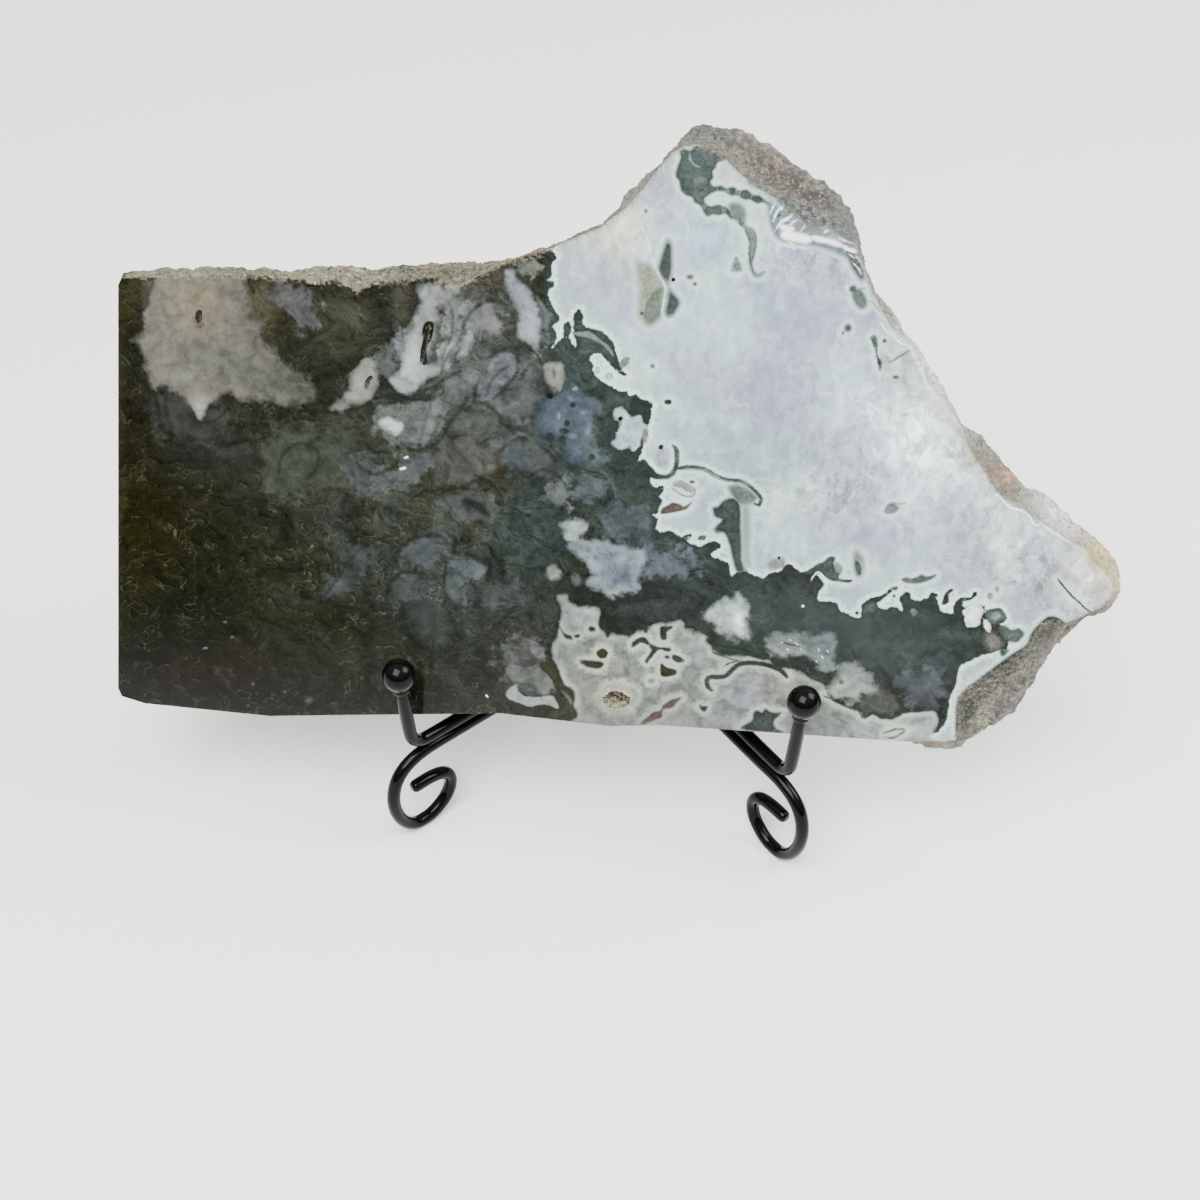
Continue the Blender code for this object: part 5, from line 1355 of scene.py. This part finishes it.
def weathered(add, colour, place, fine):
    """The stone's colour under its skin: dusty, folded and crumbly, fading out over the face."""
    crumbs = add("painted_number", attribute_name="crumbs")
    crumbly = partial(add, "ramp", crumbs, 0.0, 0.8)
    grain = add("noise", place, 0.7, 6.0, 0.75)
    sand = add("noise", place, 0.9, 5.0, 0.75)
    stain = add("noise", bent_place(add, place, 0.2, 6.0), 0.2, 4.0, 0.6)
    rind = add("multiply", crumbly(0.4, 1.0), add("painted_colour", attribute_name="rind_tint"),
               add("ramp", grain, 0.38, 0.62, 0.45, 1.5))
    rind = shaded(add, rind, add("times", add("ramp", sand, 0.36, 0.64, -0.75, 1.0), crumbly(0.5, 1.0)))
    # Stains: rusty, greenish, and dark blotches.
    rind = add("multiply", add("ramp", stain, 0.52, 0.64, 0.0, 0.6), rind, (0.86, 0.74, 0.6, 1.0))
    rind = add("multiply", add("ramp", stain, 0.46, 0.36, 0.0, 0.6), rind, (0.78, 0.88, 0.8, 1.0))
    blotch = add("times", add("ramp", stain, 0.54, 0.44), crumbly(0.1, 0.8))
    rind = add("multiply", blotch, rind, (0.4, 0.44, 0.38, 1.0))
    # Folds of the skin where the rind weathers in layers, each with painted shade on one side
    # and a painted highlight on the other.
    fold = add("noise", bent_place(add, place, 0.16, 9.0, (0.4, 1.2, 0.5)), 0.3, 3.0, 0.5)
    shaded_side = add("times", contour_lines(add, fold, 7.0, 0.2), crumbly(0.25, 0.6))
    rind = add("multiply", shaded_side, rind, (0.3, 0.32, 0.24, 1.0))
    lit_side = contour_lines(add, add("plus", fold, 0.035), 7.0, 0.14)
    rind = add("mix", add("times", lit_side, 0.22), rind, "#DDDACC")
    # Bright chips, and pits painted dark with their shade.
    for low, high, least, most, tint in ((0.56, 0.62, 0.15, 0.85, "#C9C4BA"),
                                         (0.46, 0.39, 0.3, 0.95, "#3E352D")):
        rind = add("mix", add("times", add("ramp", sand, low, high), crumbly(least, most)), rind, tint)
    share = add("plus", add("painted_number", attribute_name="rind_share"),
                add("times", add("minus", fine, 0.5), 1.4))
    share = add("times", add("ramp", share, 0.25, 0.75, 0.0, 1.0), 0.9)
    return add("mix", share, colour, rind), grain, stain


def polished_agate(roughness):
    """Agate ground and polished: the markings lie under one even, glassy surface."""
    material, add = new_material("polished_moss_agate")
    colour, place, fine = stone_colour(add)
    colour, _, _ = weathered(add, colour, place, fine)
    return dressed(material, {"Base Color": colour, "Roughness": roughness, "IOR": 1.54,
                              "Specular IOR Level": 0.15})


def rough_rind(relief):
    """The agate's rough skin: broken and grainy, its markings faint under dust, with bright chips."""
    material, add = new_material("rough_agate_rind")
    colour, place, fine = stone_colour(add)
    colour, grain, stain = weathered(add, colour, place, fine)
    height = add("plus", grain, add("times", stain, 1.4))
    return dressed(material, {"Base Color": colour, "Roughness": 0.55,
                              "Normal": add("bump", height, 1.0, relief * 0.001)})


def black_enamel(colour):
    """Black enamel on the easel's wire: glossy, with a slight unevenness where it ran."""
    material, add = new_material("black_enamel")
    run = add("noise", add("own_place"), 160.0, 3.0, 0.5)
    return dressed(material, {"Base Color": (*colour, 1.0), "Specular IOR Level": 0.11,
                              "Roughness": add("ramp", run, 0.0, 1.0, 0.07, 0.16),
                              "Normal": add("bump", run, 0.12, 0.0004)})


def brown_quartz():
    """Small quartz crystals: dark brown high in the hollow, partly a brown stain and partly painted
    shade under its overhang, and golden to clear low in it.
    """
    material, add = new_material("brown_quartz")
    place = add("own_place")
    spots = add("ramp", add("noise", place, 900.0, 3.0, 0.5), 0.35, 0.65)
    across, up = DRUSE_MIDDLE
    low, high = [(face_matrix() @ Vector((across, up + above, 0.0))).z for above in (-2.2, 1.6)]
    golden = add("mix", spots, colour4("#3D3728"), colour4("#ABA58B"))
    stained_and_shaded = add("mix", spots, colour4("#17110E"), colour4("#4C3F37"))
    colour = add("mix", add("ramp", add("height", place), low, high), golden, stained_and_shaded)
    return dressed(material, {"Base Color": colour, "Roughness": 0.2, "Specular IOR Level": 0.3})


def floor_paint(colour):
    """Plain pale studio floor."""
    material, _ = new_material("pale_studio_floor")
    return dressed(material, {"Base Color": (*colour, 1.0), "Roughness": 0.9, "Specular IOR Level": 0.0})


class AGATE_PG_settings(bpy.types.PropertyGroup):
    """Sizes and colours that someone may want to change."""

    mesh_step: bpy.props.FloatProperty(
        name="Face Detail", description="Distance between the polished face's points, in millimetres",
        default=0.95, min=0.5, max=5.0)
    face_roughness: bpy.props.FloatProperty(
        name="Polish", description="Roughness of the polished face, less is glossier", default=0.12,
        min=0.0, max=1.0, subtype="FACTOR")
    rind_relief: bpy.props.FloatProperty(
        name="Rind Relief", description="Depth of the rind's fine roughness, in millimetres", default=1.6,
        min=0.0, max=4.0)
    enamel_colour: bpy.props.FloatVectorProperty(
        name="Enamel", description="Colour of the easel's enamel", default=linear("#060404"), size=3,
        min=0.0, max=1.0, subtype="COLOR")
    floor_colour: bpy.props.FloatVectorProperty(
        name="Floor", description="Colour of the studio floor", default=linear("#F4F4F2"), size=3,
        min=0.0, max=1.0, subtype="COLOR")
    crystal_length: bpy.props.FloatProperty(
        name="Crystal Length", description="Length of the druse's tallest crystals, in millimetres",
        default=0.9, min=0.2, max=1.5)
    light_power: bpy.props.FloatProperty(
        name="Light", description="Strength of the studio's main light", default=1.0, min=0.0, max=10.0)


def crystal_seats(mesh):
    """The crust's faces that look into the hollow: middle and normal, and middle on the stone."""
    inward = face_matrix().inverted()
    mouth = Vector((*DRUSE_MIDDLE, 0.6))
    seats = []
    for polygon in mesh.polygons:
        middle = inward @ polygon.center
        facing = (inward.to_3x3() @ polygon.normal).normalized()
        if facing.dot(mouth - middle) > 0.0 and polygon.area > 1e-9:
            seats.append((polygon.center.copy(), polygon.normal.copy(), middle))
    return seats


def grow_crystal(seat, length):
    """Adds one six-sided crystal to the active mesh: three fifths of it straight, the rest its point."""
    centre, normal, middle = seat
    share = noise.noise(middle * 3.1)
    tall = min(length * (0.55 + 0.5 * abs(share)), max(0.25, 0.35 - middle.z)) * 0.001
    lean = Vector((noise.noise(middle * 5.0), noise.noise(middle * 7.0 + Vector((9.0, 0.0, 0.0))),
                   0.3 * share))
    aim = (normal + 0.7 * lean).normalized()
    turn = aim.to_track_quat("Z", "Y").to_euler()
    width = tall * (0.3 + 0.1 * share)
    bpy.ops.mesh.primitive_cylinder_add(vertices=6, radius=width, depth=tall * 0.6, rotation=turn,
                                        end_fill_type="NOTHING", location=centre + aim * tall * 0.3)
    bpy.ops.mesh.primitive_cone_add(vertices=6, radius1=width, radius2=0.0, depth=tall * 0.4, rotation=turn,
                                    end_fill_type="NOTHING", location=centre + aim * tall * 0.8)


def make_crystals(length):
    """The druse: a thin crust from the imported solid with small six-sided crystals growing from it."""
    crust = blank_from_node("druse_crystals", "druse_of_brown_quartz")
    mouth = Vector((*DRUSE_MIDDLE, 0.0))
    grow = Matrix.Translation(mouth) @ Matrix.Diagonal(CRUST_GROWTH) @ Matrix.Translation(-mouth)
    crust.data.transform(face_matrix() @ grow @ face_matrix().inverted())
    seats = crystal_seats(crust.data)
    bpy.ops.object.mode_set(mode="EDIT")
    for seat in seats:
        grow_crystal(seat, length)
    edit_all((bpy.ops.mesh.remove_doubles, {"threshold": MERGE}))
    bpy.ops.object.shade_flat()
    crust.data.materials.append(brown_quartz())
    print("crystals:", len(seats))
    return crust


def make_wire(name, enamel):
    """A piece of the easel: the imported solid's copy, rounded and with its coat of enamel."""
    piece = blank_from_node(name, name + "_enamelled")
    edit_all((bpy.ops.mesh.tris_convert_to_quads, {}))
    rounder = piece.modifiers.new("rounder", "SUBSURF")
    rounder.levels = 2
    bpy.ops.object.modifier_apply(modifier="rounder")
    coat = piece.modifiers.new("coat", "DISPLACE")
    coat.strength = ENAMEL_COAT
    coat.mid_level = 0.0
    bpy.ops.object.modifier_apply(modifier="coat")
    bpy.ops.object.shade_smooth()
    piece.data.materials.append(enamel)
    return piece


class AGATE_OT_stage(bpy.types.Operator):
    """Makes the floor, the studio light and the camera"""

    bl_idname = "agate.stage"
    bl_label = "Stage and Camera"

    def execute(self, context):
        """Makes them in order."""
        settings = context.scene.agate_settings
        bpy.ops.mesh.primitive_plane_add(size=6.0, location=(0.0, 0.0, 0.0))
        floor = context.active_object
        floor.name = "studio_floor"
        floor.data.materials.append(floor_paint(settings.floor_colour))
        # The sky is dim at the horizon and bright above, as a room with lights overhead is.
        world = bpy.data.worlds.new("studio_world")
        world.use_nodes = True
        tree = world.node_tree
        height = add_node(tree, "height", add_node(tree, "sky_place"))
        glow = add_node(tree, "ramp", height, 0.1, 0.75, 0.1, 1.3 * settings.light_power)
        background = tree.nodes["Background"]
        put(tree, background.inputs["Strength"], glow)
        put(tree, background.inputs["Color"], (1.0, 1.0, 1.0, 1.0))
        context.scene.world = world
        for name, place, aim, size, watts in SOFTBOXES:
            bpy.ops.object.light_add(type="AREA", location=place)
            light = context.active_object
            light.name = name
            light.data.size = size
            light.data.energy = watts * settings.light_power
            light.rotation_euler = (Vector(aim) - Vector(place)).to_track_quat("-Z", "Y").to_euler()
        bpy.ops.object.camera_add()
        camera = context.active_object
        camera.name = "picture_camera"
        camera.matrix_world = camera_matrix()
        camera.data.lens = CAMERA_LENS
        camera.data.sensor_width = CAMERA_SENSOR
        camera.data.clip_start = 0.01
        context.scene.camera = camera
        return {"FINISHED"}


class AGATE_OT_stone(bpy.types.Operator):
    """Makes the polished slab of moss agate"""

    bl_idname = "agate.stone"
    bl_label = "Agate Slab"

    def execute(self, context):
        """Makes the stone's mesh and paints its markings."""
        step = context.scene.agate_settings.mesh_step * 1.0
        stone = make_stone(step, 3)
        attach(stone, "root")
        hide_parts("agate_slab")
        return {"FINISHED"}


class AGATE_OT_crystals(bpy.types.Operator):
    """Makes the brown crystals in the stone's hollow"""

    bl_idname = "agate.crystals"
    bl_label = "Crystals"

    def execute(self, context):
        """Makes the crust."""
        crust = make_crystals(context.scene.agate_settings.crystal_length)
        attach(crust, "root")
        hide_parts("druse_crystals")
        return {"FINISHED"}


class AGATE_OT_easel(bpy.types.Operator):
    """Makes the enamelled wires and balls of the easel"""

    bl_idname = "agate.easel"
    bl_label = "Wire Easel"

    def execute(self, context):
        """Makes each wire and ball."""
        enamel = black_enamel(context.scene.agate_settings.enamel_colour)
        for name in EASEL:
            piece = make_wire(name, enamel)
            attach(piece, "root")
            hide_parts(name)
        return {"FINISHED"}


class AGATE_PT_panel(bpy.types.Panel):
    """Lists the steps that build the slab on its easel"""

    bl_label = "Agate"
    bl_idname = "AGATE_PT_panel"
    bl_space_type = "VIEW_3D"
    bl_region_type = "UI"
    bl_category = "Agate"

    def draw(self, context):
        """Draws the settings and the buttons."""
        for name in AGATE_PG_settings.__annotations__:
            self.layout.prop(context.scene.agate_settings, name)
        for operator in OPERATORS:
            self.layout.operator(operator.bl_idname)


OPERATORS = (AGATE_OT_stage, AGATE_OT_stone, AGATE_OT_crystals, AGATE_OT_easel)
CLASSES = (AGATE_PG_settings, *OPERATORS, AGATE_PT_panel)


def register():
    """Adds the classes and the scene's settings."""
    for cls in CLASSES:
        bpy.utils.register_class(cls)
    bpy.types.Scene.agate_settings = bpy.props.PointerProperty(type=AGATE_PG_settings)


def unregister():
    """Takes them out again."""
    del bpy.types.Scene.agate_settings
    for cls in reversed(CLASSES):
        bpy.utils.unregister_class(cls)


def main():
    """Builds everything in order."""
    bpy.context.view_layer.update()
    register()
    bpy.ops.agate.stage()
    bpy.ops.agate.stone()
    bpy.ops.agate.crystals()
    bpy.ops.agate.easel()


if __name__ == "__main__":
    main()
